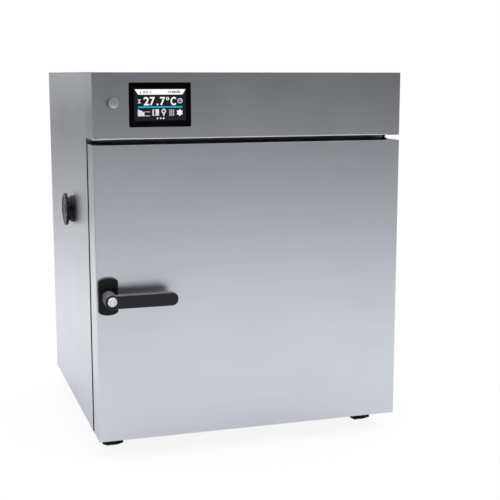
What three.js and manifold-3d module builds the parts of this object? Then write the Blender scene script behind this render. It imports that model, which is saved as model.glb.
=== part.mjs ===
// Bench-top laboratory incubator: a stainless steel cabinet round an insulated chamber, with a
// control fascia above one full-width door. The door hangs on two pins at its right and is worked
// by a lever with a lock at its left. A round plug closes the access port in the left side.
//
// Millimetres. X runs to the right, Y from the door to the back, Z up from the floor. The pieces
// are drawn with X = 0 in the middle of the cabinet and Y = 0 on the outer face of the door; the
// finished group is then moved so that its origin is the middle of its own footprint.
import * as THREE from "three";
import { mergeVertices } from "three/addons/utils/BufferGeometryUtils.js";
import Module from "manifold-3d";

const wasm = await Module();
wasm.setup();

// ---- Driving dimensions ----

const cabinetWidth = 590;
const cabinetHeight = 672;
const overallDepth = 568; // outer face of the door to outer face of the rear panel
const footHeight = 35.5;
const sheet = 1.5; // outer steel sheet
const thinSheet = 1.2; // door skin, chamber and baffle
const seat = 0.3; // gap between pieces that rest on, or fit in, each other

const fasciaHeight = 118.5;
const frontDepth = 67.5; // from the face of the door to the frame that it closes on
const doorThickness = 61;
const doorTopGap = 9.4; // below the fascia
const doorBottomGap = 0.8; // above the lower hinge plate

const chamberWidth = 400;
const chamberHeight = 390;
const rearInsulation = 60;
const serviceSpace = 29.2; // between the bulkhead and the rear panel
const compartmentDrop = 4; // the electronics floor lies this far below the fascia's lower edge

const gasketWidth = 13;
const gasketOffset = 7; // from the chamber mouth to the gasket
const padInset = 12; // of the door's raised inner pad inside the chamber mouth
const padRise = 4;

const hingeFromSide = 18;
const hingeFromFront = 32;
const hingePinRadius = 3;
const hingePinReach = 14; // of each pin inside the door
const bushRadius = 7;
const bushLength = 17;
const bushCollar = 2.8; // of the upper bush above the door
const hingePlate = 3;
const hingePlateReach = 70; // of the lower plate under the cabinet

const rosetteFromSide = 3;
const rosetteWidth = 36;
const rosetteHeight = 69;
const rosetteBulge = 8.5; // rise of the arc at each end
const rosetteThickness = 5;
const hubRadius = 13;
const handleStandOff = 45; // face of the lever in front of the door
const leverLength = 119.5; // from the spindle to the tip
const leverHeight = 24;
const leverThickness = 12;
const lockRadius = 8.4;
const lockLength = 21;
const lockProud = 0.8;
const spindleRadius = 4;
const pawlLength = 28;
const pawlWidth = 8;
const pawlThickness = 6;
const pawlBehindFrame = 3; // space between the frame and the pawl
const strikerThickness = 1.5;
const strikerMargin = 7;
const swingRelief = 2; // extra slot width for the pawl's arc as the door opens

const bezelWidth = 112.6;
const bezelHeight = 78.1;
const bezelFromSide = 65.6;
const bezelFromTop = 18.4;
const bezelProud = 0.6;
const screenWidth = 93.5;
const screenHeight = 55.4;
const screenFromBezelSide = 9.4;
const screenFromBezelTop = 11.5;
const moduleDepth = 10;
const boardStandOff = 8;

const buttonFromSide = 36.6;
const buttonFromTop = 54.5;
const buttonRadius = 9.5;
const buttonProud = 10;
const buttonTravel = 2.5;
const buttonRing = 2; // width of the fixed ring round the button

const portFromFront = 252;
const portFromTop = 268.5;
const portBore = 15.5;
const portWall = 3.5;
const portFlange = 7.4; // width of the sleeve's flange round its tube
const portFlangeThickness = 5.4;
const plugShoulder = 8; // of the plug's neck beyond the bore
const plugNeck = 6.2;
const plugOverhang = 5.4; // of the cap beyond the flange
const plugCapThickness = 6.4;
const plugLobes = 16;
const plugStem = 70;

const footFromSide = 38;
const footFromFrame = 24.5;
const footFromBack = 40;
const footBaseHalf = 10.6; // half the width of the square pad
const footHalf = 19.6;
const footNeckHalf = 13;

const rackFromFront = 32; // behind the frame
const rackRearGap = 20; // in front of the baffle
const rackLedge = 12;
const rackLevels = 5;
const rackFirstLevel = 60; // above the chamber floor
const rackPitch = 62;
const shelfLevels = [1, 3];
const shelfRearGap = 18; // in front of the baffle
const shelfFromFrame = 26;
const shelfInset = 5; // between the shelf and the chamber wall
const shelfRod = 6;
const wireSize = 2.6;
const wireCount = 17;

const bafflePlenum = 41; // between the baffle and the back of the chamber
const baffleMargin = 12;
const fanRadius = 60;
const fanBlades = 8;
const fanWidth = 18;
const fanShaftRadius = 4;
const motorRadius = 30;
const motorLength = 58;
const heaterRadius = 78;
const heaterRod = 3.5;
const probeRadius = 2.5;
const probeReach = 14; // in front of the baffle

const supplyWidth = 140;
const supplyDepth = 90;
const supplyHeight = 42;
const supplyFromMiddle = 60;
const supplyFromFrame = 111;

const inletWidth = 30;
const inletHeight = 26;
const inletFromSide = 105;
const inletHeightAboveBase = 55;
const inletFlange = 3;
const inletDepth = 20; // behind the rear panel
const fuseRadius = 8;
const fuseDepth = 18;
const fuseBelowInlet = 16; // from the inlet's edge to the middle of the fuse holder

// ---- Places worked out from the driving dimensions ----

const halfWidth = cabinetWidth / 2;
const base = footHeight;
const top = footHeight + cabinetHeight;
const back = overallDepth - sheet; // inner face of the rear panel
const fasciaBottom = top - fasciaHeight;
const frameBack = frontDepth + sheet;

const doorBottom = base + doorBottomGap;
const doorTop = fasciaBottom - doorTopGap;
const doorMiddle = (doorBottom + doorTop) / 2;

const chamberHalf = chamberWidth / 2;
const chamberFloor = doorMiddle - chamberHeight / 2;
const chamberCeiling = doorMiddle + chamberHeight / 2;
const bulkheadBack = back - serviceSpace;
const bulkheadFront = bulkheadBack - sheet;
const insulationBack = bulkheadFront - seat;
const linerBack = insulationBack - rearInsulation - seat;
const chamberBack = linerBack - thinSheet;
const baffleFront = chamberBack - bafflePlenum;
const compartmentFloor = fasciaBottom - compartmentDrop; // underside of the floor sheet

const hingeX = halfWidth - hingeFromSide;
const handleX = -halfWidth + rosetteFromSide + rosetteWidth / 2;
const handleZ = doorMiddle - 1;
const pawlFront = frameBack + pawlBehindFrame;

const bezelX = -halfWidth + bezelFromSide + bezelWidth / 2;
const bezelZ = top - bezelFromTop - bezelHeight / 2;
const screenX = -halfWidth + bezelFromSide + screenFromBezelSide + screenWidth / 2;
const screenZ = top - bezelFromTop - screenFromBezelTop - screenHeight / 2;
const buttonX = -halfWidth + buttonFromSide;
const buttonZ = top - buttonFromTop;

const portZ = top - portFromTop;
const portTube = portBore + portWall;
const portFlangeRadius = portTube + portFlange;
const plugNeckRadius = portBore + plugShoulder;
const plugCapRadius = portFlangeRadius + plugOverhang;
const fanZ = doorMiddle;
const probePlaces = { temperature_probe: [-40, fanZ + 125], safety_probe: [40, fanZ + 125] };
const heaterLeads = [-12, 12]; // across, either side of the lowest point of the ring
const inletX = halfWidth - inletFromSide;
const inletZ = base + inletHeightAboveBase;
const fuseZ = inletZ - inletHeight / 2 - fuseBelowInlet;

// ---- Finishes ----

const finishes = {
  steel: [0xb9bcc0, 0.34, 1.0],
  chamberSteel: [0xc6c8ca, 0.24, 1.0],
  zinc: [0xa4a7a9, 0.45, 0.9],
  blackPlastic: [0x1b1c1e, 0.45, 0.0],
  rubber: [0x141414, 0.8, 0.0],
  silicone: [0xd9d9d4, 0.6, 0.0],
  foam: [0xd9c58f, 0.9, 0.0],
  screen: [0x1c1c24, 0.1, 0.0],
  board: [0x1f5a35, 0.5, 0.1],
  chrome: [0xe2e3e5, 0.15, 1.0],
};

// ---- Shapes ----

// A closed geometry as a solid that can be joined and cut.
function solid(geometry) {
  const bare = new THREE.BufferGeometry();
  bare.setAttribute("position", geometry.getAttribute("position"));
  if (geometry.index) bare.setIndex(geometry.index);
  const merged = mergeVertices(bare, 1e-4);
  return new wasm.Manifold(
    new wasm.Mesh({
      numProp: 3,
      vertProperties: new Float32Array(merged.attributes.position.array),
      triVerts: new Uint32Array(merged.index.array),
    }),
  );
}

// The surface of a solid as a geometry.
function surface(body) {
  const mesh = body.getMesh();
  const geometry = new THREE.BufferGeometry();
  geometry.setAttribute("position", new THREE.BufferAttribute(mesh.vertProperties, 3));
  geometry.setIndex(new THREE.BufferAttribute(mesh.triVerts, 1));
  geometry.computeVertexNormals();
  return geometry;
}

// One body from pieces to join and pieces to take away.
function shape(joined, removed = []) {
  const whole = joined.map(solid).reduce((a, b) => a.add(b));
  return surface(removed.map(solid).reduce((a, b) => a.subtract(b), whole));
}

// A block between two limits on each axis.
function block([x0, x1], [y0, y1], [z0, z1]) {
  const geometry = new THREE.BoxGeometry(x1 - x0, y1 - y0, z1 - z0);
  return geometry.translate((x0 + x1) / 2, (y0 + y1) / 2, (z0 + z1) / 2);
}

// A round bar along one axis: its radius, its two ends and the place of its axis.
function bar(axis, radius, [from, to], [a, b], sides = 20) {
  const geometry = new THREE.CylinderGeometry(radius, radius, to - from, sides);
  const middle = (from + to) / 2;
  if (axis === "x") return geometry.rotateZ(Math.PI / 2).translate(middle, a, b);
  if (axis === "y") return geometry.translate(a, middle, b);
  return geometry.rotateX(Math.PI / 2).translate(a, b, middle);
}

// A flat outline, drawn across and up, as a plate between two values of Y.
function plate(outline, [y0, y1], [x, z], curveSegments = 4) {
  const geometry = new THREE.ExtrudeGeometry(outline, {
    depth: y1 - y0,
    bevelEnabled: false,
    curveSegments,
  });
  return geometry.rotateX(Math.PI / 2).translate(x, y1, z);
}

// A rectangle with round corners, about its middle.
function roundedOutline(width, height, radius, Outline = THREE.Shape) {
  const w = width / 2;
  const h = height / 2;
  const outline = new Outline();
  outline.moveTo(-w + radius, -h);
  outline.lineTo(w - radius, -h);
  outline.absarc(w - radius, -h + radius, radius, -Math.PI / 2, 0);
  outline.lineTo(w, h - radius);
  outline.absarc(w - radius, h - radius, radius, 0, Math.PI / 2);
  outline.lineTo(-w + radius, h);
  outline.absarc(-w + radius, h - radius, radius, Math.PI / 2, Math.PI);
  outline.lineTo(-w, -h + radius);
  outline.absarc(-w + radius, -h + radius, radius, Math.PI, 1.5 * Math.PI);
  return outline;
}

// ---- Bodies that move together ----

const incubator = new THREE.Group();
incubator.name = "incubator";

function moving(name, parent) {
  const group = new THREE.Group();
  group.name = name;
  parent.add(group);
  return group;
}

const cabinet = moving("cabinet", incubator);
const door = moving("door", cabinet);
const lever = moving("lever", door);
const lock = moving("lock", lever);
const button = moving("button", cabinet);
const plug = moving("plug", cabinet);
const upperShelf = moving("upper_shelf", cabinet);
const lowerShelf = moving("lower_shelf", cabinet);
const fan = moving("fan", cabinet);

// Puts one named sub-part in its body.
function add(body, name, geometry, finish) {
  const [color, roughness, metalness] = finishes[finish];
  const material = new THREE.MeshStandardMaterial({ color, roughness, metalness });
  const mesh = new THREE.Mesh(geometry, material);
  mesh.name = name;
  body.add(mesh);
}

// ---- Cabinet shell ----

const inside = [-halfWidth + sheet, halfWidth - sheet];
const portHole = (from, to, radius = portTube + seat) =>
  bar("x", radius, [from, to], [portFromFront, portZ]);
const handleHole = (from, to, radius = spindleRadius + 1) =>
  bar("y", radius, [from, to], [handleX, handleZ], 20);
const strikerSlot = (from, to, margin = 0) =>
  block(
    [handleX - pawlWidth / 2 - swingRelief - 1 - margin, handleX + pawlWidth / 2 + 2 + margin],
    [from, to],
    [handleZ - pawlLength / 2 - 3 - margin, handleZ + pawlLength / 2 + 3 + margin],
  );

function makeShell() {
  const side = [frontDepth, back];
  const height = [base, top - sheet];
  add(
    cabinet,
    "side_panel_left",
    shape(
      [block([-halfWidth, inside[0]], side, height)],
      [portHole(-halfWidth - 1, inside[0] + 1)],
    ),
    "steel",
  );
  add(cabinet, "side_panel_right", block([inside[1], halfWidth], side, height), "steel");
  add(cabinet, "top_panel", block([-halfWidth, halfWidth], side, [top - sheet, top]), "steel");
  add(cabinet, "bottom_pan", block(inside, side, [base, base + sheet]), "zinc");

  const ventRows = [0, 1];
  const ventCount = 9;
  const ventPitch = 26;
  const slots = ventRows.flatMap((row) =>
    Array.from({ length: ventCount }, (_, i) => {
      const x = (i - (ventCount - 1) / 2) * ventPitch;
      const z = top - 45 - row * 40;
      return block([x - 3, x + 3], [back - 1, overallDepth + 1], [z - 14, z + 14]);
    }),
  );
  const inletHole = block(
    [inletX - inletWidth / 2 - seat, inletX + inletWidth / 2 + seat],
    [back - 1, overallDepth + 1],
    [inletZ - inletHeight / 2 - seat, inletZ + inletHeight / 2 + seat],
  );
  const fuseHole = bar("y", fuseRadius + seat, [back - 1, overallDepth + 1], [inletX, fuseZ]);
  const rear = block([-halfWidth, halfWidth], [back, overallDepth], [base, top]);
  add(cabinet, "rear_panel", shape([rear], [...slots, inletHole, fuseHole]), "zinc");

  const mouth = block(
    [-chamberHalf, chamberHalf],
    [frontDepth - 1, frameBack + 1],
    [chamberFloor, chamberCeiling],
  );
  const cableWindow = block(
    [-halfWidth + 60, halfWidth - 60],
    [frontDepth - 1, frameBack + 1],
    [fasciaBottom + 34, top - 26],
  );
  const frame = block(inside, [frontDepth, frameBack], [base + sheet, top - sheet]);
  const slot = strikerSlot(frontDepth - 1, frameBack + 1);
  add(cabinet, "front_frame", shape([frame], [mouth, cableWindow, slot]), "steel");

  const floorSheet = block(
    [inside[0] + seat, inside[1] - seat],
    [frameBack + seat, back - seat],
    [compartmentFloor, compartmentFloor + sheet],
  );
  add(cabinet, "compartment_floor", floorSheet, "zinc");

  const bulkhead = block(
    [inside[0] + seat, inside[1] - seat],
    [bulkheadFront, bulkheadBack],
    [base + sheet + seat, compartmentFloor - seat],
  );
  const serviceHoles = [
    bar("y", motorRadius + seat, [bulkheadFront - 1, bulkheadBack + 1], [0, fanZ], 24),
    ...leadsAndProbes(bulkheadFront - 1, bulkheadBack + 1, seat),
  ];
  add(cabinet, "rear_bulkhead", shape([bulkhead], serviceHoles), "zinc");
}

// The heater's leads and the two probes between two values of Y, thickened by a clearance.
function leadsAndProbes(from, to, clearance) {
  const leads = heaterLeads.map((x) =>
    bar("y", heaterRod + clearance, [from, to], [x, fanZ - heaterRadius], 12),
  );
  const probes = Object.values(probePlaces).map((place) =>
    bar("y", probeRadius + clearance, [from, to], place, 12),
  );
  return [...leads, ...probes];
}

// Four feet: a square, tapered rubber pad under a narrower neck.
function makeFeet() {
  const taper = 5.5;
  const padTop = 21;
  const profile = [
    [0, 0],
    [footBaseHalf, 0],
    [footHalf - 1, taper],
    [footHalf, taper + 2],
    [footHalf, padTop],
    [footNeckHalf, padTop + 2],
    [footNeckHalf, footHeight],
    [0, footHeight],
  ].map(([half, z]) => new THREE.Vector2(half * Math.SQRT2, z));
  for (const [row, y] of [
    ["front", frontDepth + footFromFrame],
    ["rear", overallDepth - footFromBack],
  ])
    for (const [side, x] of [
      ["left", -halfWidth + footFromSide],
      ["right", halfWidth - footFromSide],
    ]) {
      const foot = new THREE.LatheGeometry(profile, 4, Math.PI / 4)
        .rotateX(Math.PI / 2)
        .translate(x, y, 0);
      add(cabinet, `foot_${row}_${side}`, foot, "rubber");
    }
}

// ---- Insulation round the chamber ----

function makeInsulation() {
  const floor = base + sheet + seat;
  const ceiling = compartmentFloor - seat;
  const linerSide = chamberHalf + thinSheet + seat;
  const depth = [frameBack + seat, linerBack];
  const across = [-linerSide + seat, linerSide - seat];
  const outer = halfWidth - sheet - seat;

  const pocket = block(
    [-outer - 1, handleX + pawlLength / 2 + 3],
    [frameBack, pawlFront + pawlThickness + 3],
    [handleZ - pawlLength / 2 - 5, handleZ + pawlLength / 2 + 5],
  );
  const left = block([-outer, -linerSide], depth, [floor, ceiling]);
  const sleeveHole = portHole(-outer - 1, -linerSide + 1);
  add(cabinet, "insulation_left", shape([left], [pocket, sleeveHole]), "foam");
  add(cabinet, "insulation_right", block([linerSide, outer], depth, [floor, ceiling]), "foam");

  const underside = [floor, chamberFloor - thinSheet - seat];
  const overhead = [chamberCeiling + thinSheet + seat, ceiling];
  add(cabinet, "insulation_bottom", block(across, depth, underside), "foam");
  add(cabinet, "insulation_top", block(across, depth, overhead), "foam");

  const rear = block([-outer, outer], [linerBack + seat, insulationBack], [floor, ceiling]);
  const holes = [
    bar("y", motorRadius + 2, [linerBack, insulationBack + 1], [0, fanZ], 24),
    ...leadsAndProbes(linerBack, insulationBack + 1, seat),
  ];
  add(cabinet, "insulation_rear", shape([rear], holes), "foam");
}

// ---- Chamber ----

function makeChamber() {
  const wall = chamberHalf + thinSheet;
  const tub = block(
    [-wall, wall],
    [frameBack, linerBack],
    [chamberFloor - thinSheet, chamberCeiling + thinSheet],
  );
  const hollow = block(
    [-chamberHalf, chamberHalf],
    [frameBack - 1, chamberBack],
    [chamberFloor, chamberCeiling],
  );
  const holes = [
    portHole(-wall - 1, -chamberHalf + 1),
    bar("y", fanShaftRadius + 2, [chamberBack - 1, linerBack + 1], [0, fanZ], 20),
    ...leadsAndProbes(chamberBack - 1, linerBack + 1, seat),
  ];
  add(cabinet, "chamber_liner", shape([tub], [hollow, ...holes]), "chamberSteel");

  const half = chamberHalf - baffleMargin;
  const low = chamberFloor + baffleMargin;
  const high = chamberCeiling - baffleMargin;
  const cover = block([-half, half], [baffleFront, chamberBack - seat], [low, high]);
  const plenum = block(
    [-half + thinSheet, half - thinSheet],
    [baffleFront + thinSheet, chamberBack + 1],
    [low + thinSheet, high - thinSheet],
  );
  const span = [baffleFront - 1, baffleFront + thinSheet + 1];
  const ring = Array.from({ length: 6 }, (_, i) => {
    const angle = (i * Math.PI) / 3;
    const place = [36 * Math.cos(angle), fanZ + 36 * Math.sin(angle)];
    return bar("y", 13, span, place, 20);
  });
  const outlets = [-1, 1].flatMap((side) =>
    [-120, -60, 0, 60, 120].map((z) =>
      block([side * (half - 22) - 5, side * (half - 22) + 5], span, [fanZ + z - 22, fanZ + z + 22]),
    ),
  );
  const probeHoles = Object.values(probePlaces).map((place) =>
    bar("y", probeRadius + seat, span, place, 12),
  );
  const openings = [plenum, bar("y", 13, span, [0, fanZ], 20), ...ring, ...outlets];
  add(cabinet, "air_baffle", shape([cover], [...openings, ...probeHoles]), "chamberSteel");
}

// Shelf racks: two uprights and a ledge at each level, against each side wall.
const levelHeight = (level) => chamberFloor + rackFirstLevel + level * rackPitch;
const ledgeThickness = 1.5;

function makeRacks() {
  const near = frameBack + rackFromFront;
  const far = baffleFront - rackRearGap;
  const upright = 12;
  for (const [name, side] of [
    ["rack_left", -1],
    ["rack_right", 1],
  ]) {
    const span = (from, to) =>
      side < 0 ? [-chamberHalf + from, -chamberHalf + to] : [chamberHalf - to, chamberHalf - from];
    const reach = [levelHeight(0) - 20, levelHeight(rackLevels - 1) + 30];
    const posts = [near + upright, far - 2 * upright].map((y) =>
      block(span(seat, seat + 2), [y, y + upright], reach),
    );
    const ledges = Array.from({ length: rackLevels }, (_, level) => {
      const z = levelHeight(level);
      return block(span(seat + 0.5, seat + rackLedge), [near, far], [z - ledgeThickness, z]);
    });
    add(cabinet, name, shape([...posts, ...ledges]), "chamberSteel");
  }
}

// A wire shelf: a rod frame, two cross rods and wires from front to back.
function makeShelf(body, name, level) {
  const half = chamberHalf - shelfInset;
  const front = frameBack + shelfFromFrame;
  const rear = baffleFront - shelfRearGap;
  const z = levelHeight(level) + seat;
  const rodHeight = [z, z + shelfRod];
  const rods = [
    block([-half, half], [front, front + shelfRod], rodHeight),
    block([-half, half], [rear - shelfRod, rear], rodHeight),
    block([-half, -half + shelfRod], [front, rear], rodHeight),
    block([half - shelfRod, half], [front, rear], rodHeight),
    ...[1 / 3, 2 / 3].map((share) => {
      const y = front + share * (rear - front);
      return block([-half, half], [y - 2, y + 2], [z + 1, z + 5]);
    }),
  ];
  const pitch = (2 * half - shelfRod) / (wireCount + 1);
  const wires = Array.from({ length: wireCount }, (_, i) => {
    const x = -half + shelfRod / 2 + (i + 1) * pitch;
    const height = [z + shelfRod - wireSize / 2 - 1, z + shelfRod + wireSize / 2 - 1];
    return block([x - wireSize / 2, x + wireSize / 2], [front + 1, rear - 1], height);
  });
  add(body, name, shape([...rods, ...wires]), "chamberSteel");
}

// ---- Fan, heater and probes behind the baffle ----

function makeAirSystem() {
  const fanFront = baffleFront + thinSheet + 7;
  const fanBack = fanFront + fanWidth;
  const motorFront = bulkheadBack - motorLength + 14;
  const blades = Array.from({ length: fanBlades }, (_, i) =>
    block([15, fanRadius - 1], [fanFront, fanBack + 0.5], [-0.8, 0.8])
      .rotateY(0.35)
      .translate(0, 0, 6)
      .rotateY((i * 2 * Math.PI) / fanBlades)
      .translate(0, 0, fanZ),
  );
  const wheel = [
    bar("y", fanRadius, [fanBack, fanBack + 1.5], [0, fanZ], 32),
    bar("y", 19, [fanFront, fanBack + 1], [0, fanZ], 20),
    bar("y", fanShaftRadius, [fanFront, motorFront + 10], [0, fanZ], 20),
    ...blades,
  ];
  add(fan, "fan_wheel", shape(wheel), "chamberSteel");

  const motor = [
    bar("y", motorRadius, [motorFront, motorFront + motorLength], [0, fanZ], 24),
    plate(roundedOutline(84, 84, 8), [bulkheadBack + seat, bulkheadBack + 3], [0, fanZ]),
  ];
  const bore = bar("y", fanShaftRadius + seat, [motorFront - 1, motorFront + 12], [0, fanZ], 20);
  add(cabinet, "fan_motor", shape(motor, [bore]), "zinc");

  const heaterY = (fanFront + fanBack) / 2;
  const loop = new THREE.TorusGeometry(heaterRadius, heaterRod, 8, 28)
    .rotateX(Math.PI / 2)
    .translate(0, heaterY, fanZ);
  const leads = heaterLeads.map((x) =>
    bar("y", heaterRod, [heaterY, bulkheadBack + 8], [x, fanZ - heaterRadius], 12),
  );
  add(cabinet, "heater_element", shape([loop, ...leads]), "zinc");

  for (const [name, place] of Object.entries(probePlaces)) {
    const reach = [baffleFront - probeReach, bulkheadBack + 8];
    add(cabinet, name, bar("y", probeRadius, reach, place, 12), "chrome");
  }
}

// ---- Fascia, display, button and electronics ----

function makeFascia() {
  const outer = block([-halfWidth, halfWidth], [0, frontDepth - seat], [fasciaBottom, top]);
  const inner = block(inside, [sheet, frontDepth + 1], [fasciaBottom + sheet, top - sheet]);
  const bezelHole = plate(
    roundedOutline(bezelWidth + 2 * seat, bezelHeight + 2 * seat, 3),
    [-1, sheet + 1],
    [bezelX, bezelZ],
  );
  const buttonHole = bar("y", buttonRadius + buttonRing, [-1, sheet + 1], [buttonX, buttonZ], 28);
  const pinHole = bar(
    "z",
    hingePinRadius + seat,
    [fasciaBottom - 1, fasciaBottom + sheet + 1],
    [hingeX, hingeFromFront],
  );
  add(cabinet, "fascia_panel", shape([outer], [inner, bezelHole, buttonHole, pinHole]), "steel");
}

function makeDisplay() {
  const rim = plate(roundedOutline(bezelWidth, bezelHeight, 2.7), [-bezelProud, sheet], [bezelX, bezelZ]);
  const window = plate(
    roundedOutline(screenWidth + 2 * seat, screenHeight + 2 * seat, 0.6),
    [-bezelProud - 1, sheet + 1],
    [screenX, screenZ],
    3,
  );
  add(cabinet, "display_bezel", shape([rim], [window]), "blackPlastic");

  const moduleFront = sheet + seat;
  const moduleBack = moduleFront + moduleDepth;
  const border = 6;
  const glass = plate(
    roundedOutline(screenWidth, screenHeight, 0.5),
    [0, moduleFront + 1],
    [screenX, screenZ],
    3,
  );
  const half = (size) => size / 2 + border;
  const body = block(
    [screenX - half(screenWidth), screenX + half(screenWidth)],
    [moduleFront, moduleBack],
    [screenZ - half(screenHeight), screenZ + half(screenHeight)],
  );
  add(cabinet, "display_module", shape([glass, body]), "screen");

  const boardFront = moduleBack + boardStandOff;
  const boardBack = boardFront + 1.6;
  const board = block(
    [screenX - half(screenWidth), screenX + half(screenWidth) + 24],
    [boardFront, boardBack],
    [screenZ - half(screenHeight) + 2, screenZ + half(screenHeight) - 2],
  );
  const posts = [-1, 1].flatMap((sx) =>
    [-1, 1].map((sz) => {
      const place = [screenX + sx * (screenWidth / 2), screenZ + sz * (screenHeight / 2 - 2)];
      return bar("y", 2.5, [moduleBack + seat, boardFront + 1], place, 12);
    }),
  );
  const chips = [
    block([screenX - 14, screenX + 14], [boardBack - 0.5, boardBack + 3], [screenZ - 14, screenZ + 14]),
    block([screenX + 30, screenX + 62], [boardBack - 0.5, boardBack + 9], [screenZ - 20, screenZ - 8]),
    block([screenX + 30, screenX + 62], [boardBack - 0.5, boardBack + 9], [screenZ + 8, screenZ + 20]),
  ];
  add(cabinet, "controller_board", shape([board, ...posts, ...chips]), "board");
}

function makeButton() {
  const ringBack = sheet + seat;
  const housingBack = 32;
  const bore = buttonRadius + seat;
  const place = [buttonX, buttonZ];
  const housing = [
    bar("y", buttonRadius + buttonRing - seat, [-1.2, housingBack], place, 28),
    bar("y", buttonRadius + 5, [ringBack, ringBack + 5], place, 28),
  ];
  const stemDepth = 9;
  const bottom = stemDepth + buttonTravel + 1;
  add(cabinet, "button_housing", shape(housing, [bar("y", bore, [-2, bottom], place, 28)]), "chrome");
  add(button, "power_button", bar("y", buttonRadius, [-buttonProud, stemDepth], place, 28), "chrome");
}

function makePowerSupply() {
  const floor = compartmentFloor + sheet;
  const right = supplyFromMiddle + supplyWidth;
  const front = frameBack + supplyFromFrame;
  const box = block(
    [supplyFromMiddle, right],
    [front, front + supplyDepth],
    [floor, floor + supplyHeight],
  );
  const terminals = block(
    [right - 5, right + 16],
    [front + 10, front + supplyDepth - 10],
    [floor, floor + 18],
  );
  add(cabinet, "power_supply", shape([box, terminals]), "zinc");
}

// ---- Access port ----

function makePort() {
  const wall = -halfWidth;
  const flangeFace = wall - portFlangeThickness;
  const place = [portFromFront, portZ];
  const sleeve = [
    bar("x", portFlangeRadius, [flangeFace, wall - seat], place, 32),
    bar("x", portTube, [flangeFace + 1, -chamberHalf], place, 24),
  ];
  const bore = bar("x", portBore, [flangeFace - 1, -chamberHalf + 1], place, 24);
  add(cabinet, "port_sleeve", shape(sleeve, [bore]), "blackPlastic");

  const neckFrom = flangeFace - seat;
  const capFrom = neckFrom - plugNeck;
  const face = capFrom - plugCapThickness;
  const grooves = Array.from({ length: plugLobes }, (_, i) => {
    const angle = (i * 2 * Math.PI) / plugLobes;
    const r = plugCapRadius + 1.4;
    const at = [portFromFront + r * Math.cos(angle), portZ + r * Math.sin(angle)];
    return bar("x", 2.6, [face - 1, capFrom + 1], at, 8);
  });
  const pieces = [
    bar("x", plugCapRadius, [face, capFrom], place, 48),
    bar("x", plugNeckRadius, [capFrom - 1, neckFrom], place, 24),
    bar("x", portBore - seat, [capFrom - 1, neckFrom + plugStem], place, 24),
  ];
  add(plug, "port_plug", shape(pieces, grooves), "blackPlastic");
}

// ---- Door ----

function makeDoor() {
  const width = [-halfWidth, halfWidth];
  const height = [doorBottom, doorTop];
  const shell = block(width, [0, doorThickness], height);
  const hollow = block(
    [width[0] + thinSheet, width[1] - thinSheet],
    [thinSheet, doorThickness + 1],
    [height[0] + thinSheet, height[1] - thinSheet],
  );
  const bushHole = bar(
    "z",
    bushRadius + seat,
    [doorBottom - 1, doorTop + 1],
    [hingeX, hingeFromFront],
  );
  add(door, "door_skin", shape([shell], [hollow, bushHole, handleHole(-1, thinSheet + 1)]), "steel");

  const edge = thinSheet + seat;
  const inner = [width[0] + edge, width[1] - edge];
  const innerHeight = [height[0] + edge, height[1] - edge];
  const panelFront = doorThickness - sheet;
  const padHalf = chamberHalf - padInset;
  const padHeight = [chamberFloor + padInset, chamberCeiling - padInset];
  const panel = block(inner, [panelFront, doorThickness], innerHeight);
  const pad = block([-padHalf, padHalf], [panelFront, doorThickness + padRise], padHeight);
  const dish = block(
    [-padHalf + sheet, padHalf - sheet],
    [panelFront - 1, doorThickness + padRise - sheet],
    [padHeight[0] + sheet, padHeight[1] - sheet],
  );
  const innerHole = handleHole(panelFront - 1, doorThickness + 1);
  add(door, "door_inner_panel", shape([panel, pad], [dish, innerHole]), "chamberSteel");

  const ringOutline = (offset, radius, Outline) =>
    roundedOutline(chamberWidth + 2 * offset, chamberHeight + 2 * offset, radius, Outline);
  const gasketOutline = ringOutline(gasketOffset + gasketWidth, 24);
  gasketOutline.holes.push(ringOutline(gasketOffset, 24 - gasketWidth, THREE.Path));
  const gasket = plate(gasketOutline, [doorThickness, frontDepth - seat], [0, doorMiddle]);
  add(door, "door_gasket", gasket, "silicone");

  const caseHalf = 15;
  const caseHeight = 24;
  const latchCase = (grow) =>
    block(
      [handleX - caseHalf - grow, handleX + caseHalf + grow],
      [doorThickness - sheet - seat - 24 - grow, doorThickness - sheet - seat + grow],
      [handleZ - caseHeight - grow, handleZ + caseHeight + grow],
    );
  const caseBore = handleHole(0, doorThickness, spindleRadius + seat);
  add(door, "latch_case", shape([latchCase(0)], [caseBore]), "zinc");

  const foam = block(
    [inner[0], inner[1]],
    [thinSheet + seat, panelFront - seat],
    [innerHeight[0], innerHeight[1]],
  );
  const bushPocket = (from, to) =>
    bar("z", bushRadius + seat, [from, to], [hingeX, hingeFromFront]);
  const pockets = [
    latchCase(seat),
    handleHole(0, doorThickness),
    bushPocket(doorBottom - 1, doorBottom + bushLength + seat),
    bushPocket(doorTop - bushLength - seat, doorTop + 1),
  ];
  add(door, "door_insulation", shape([foam], pockets), "foam");
}

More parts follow.
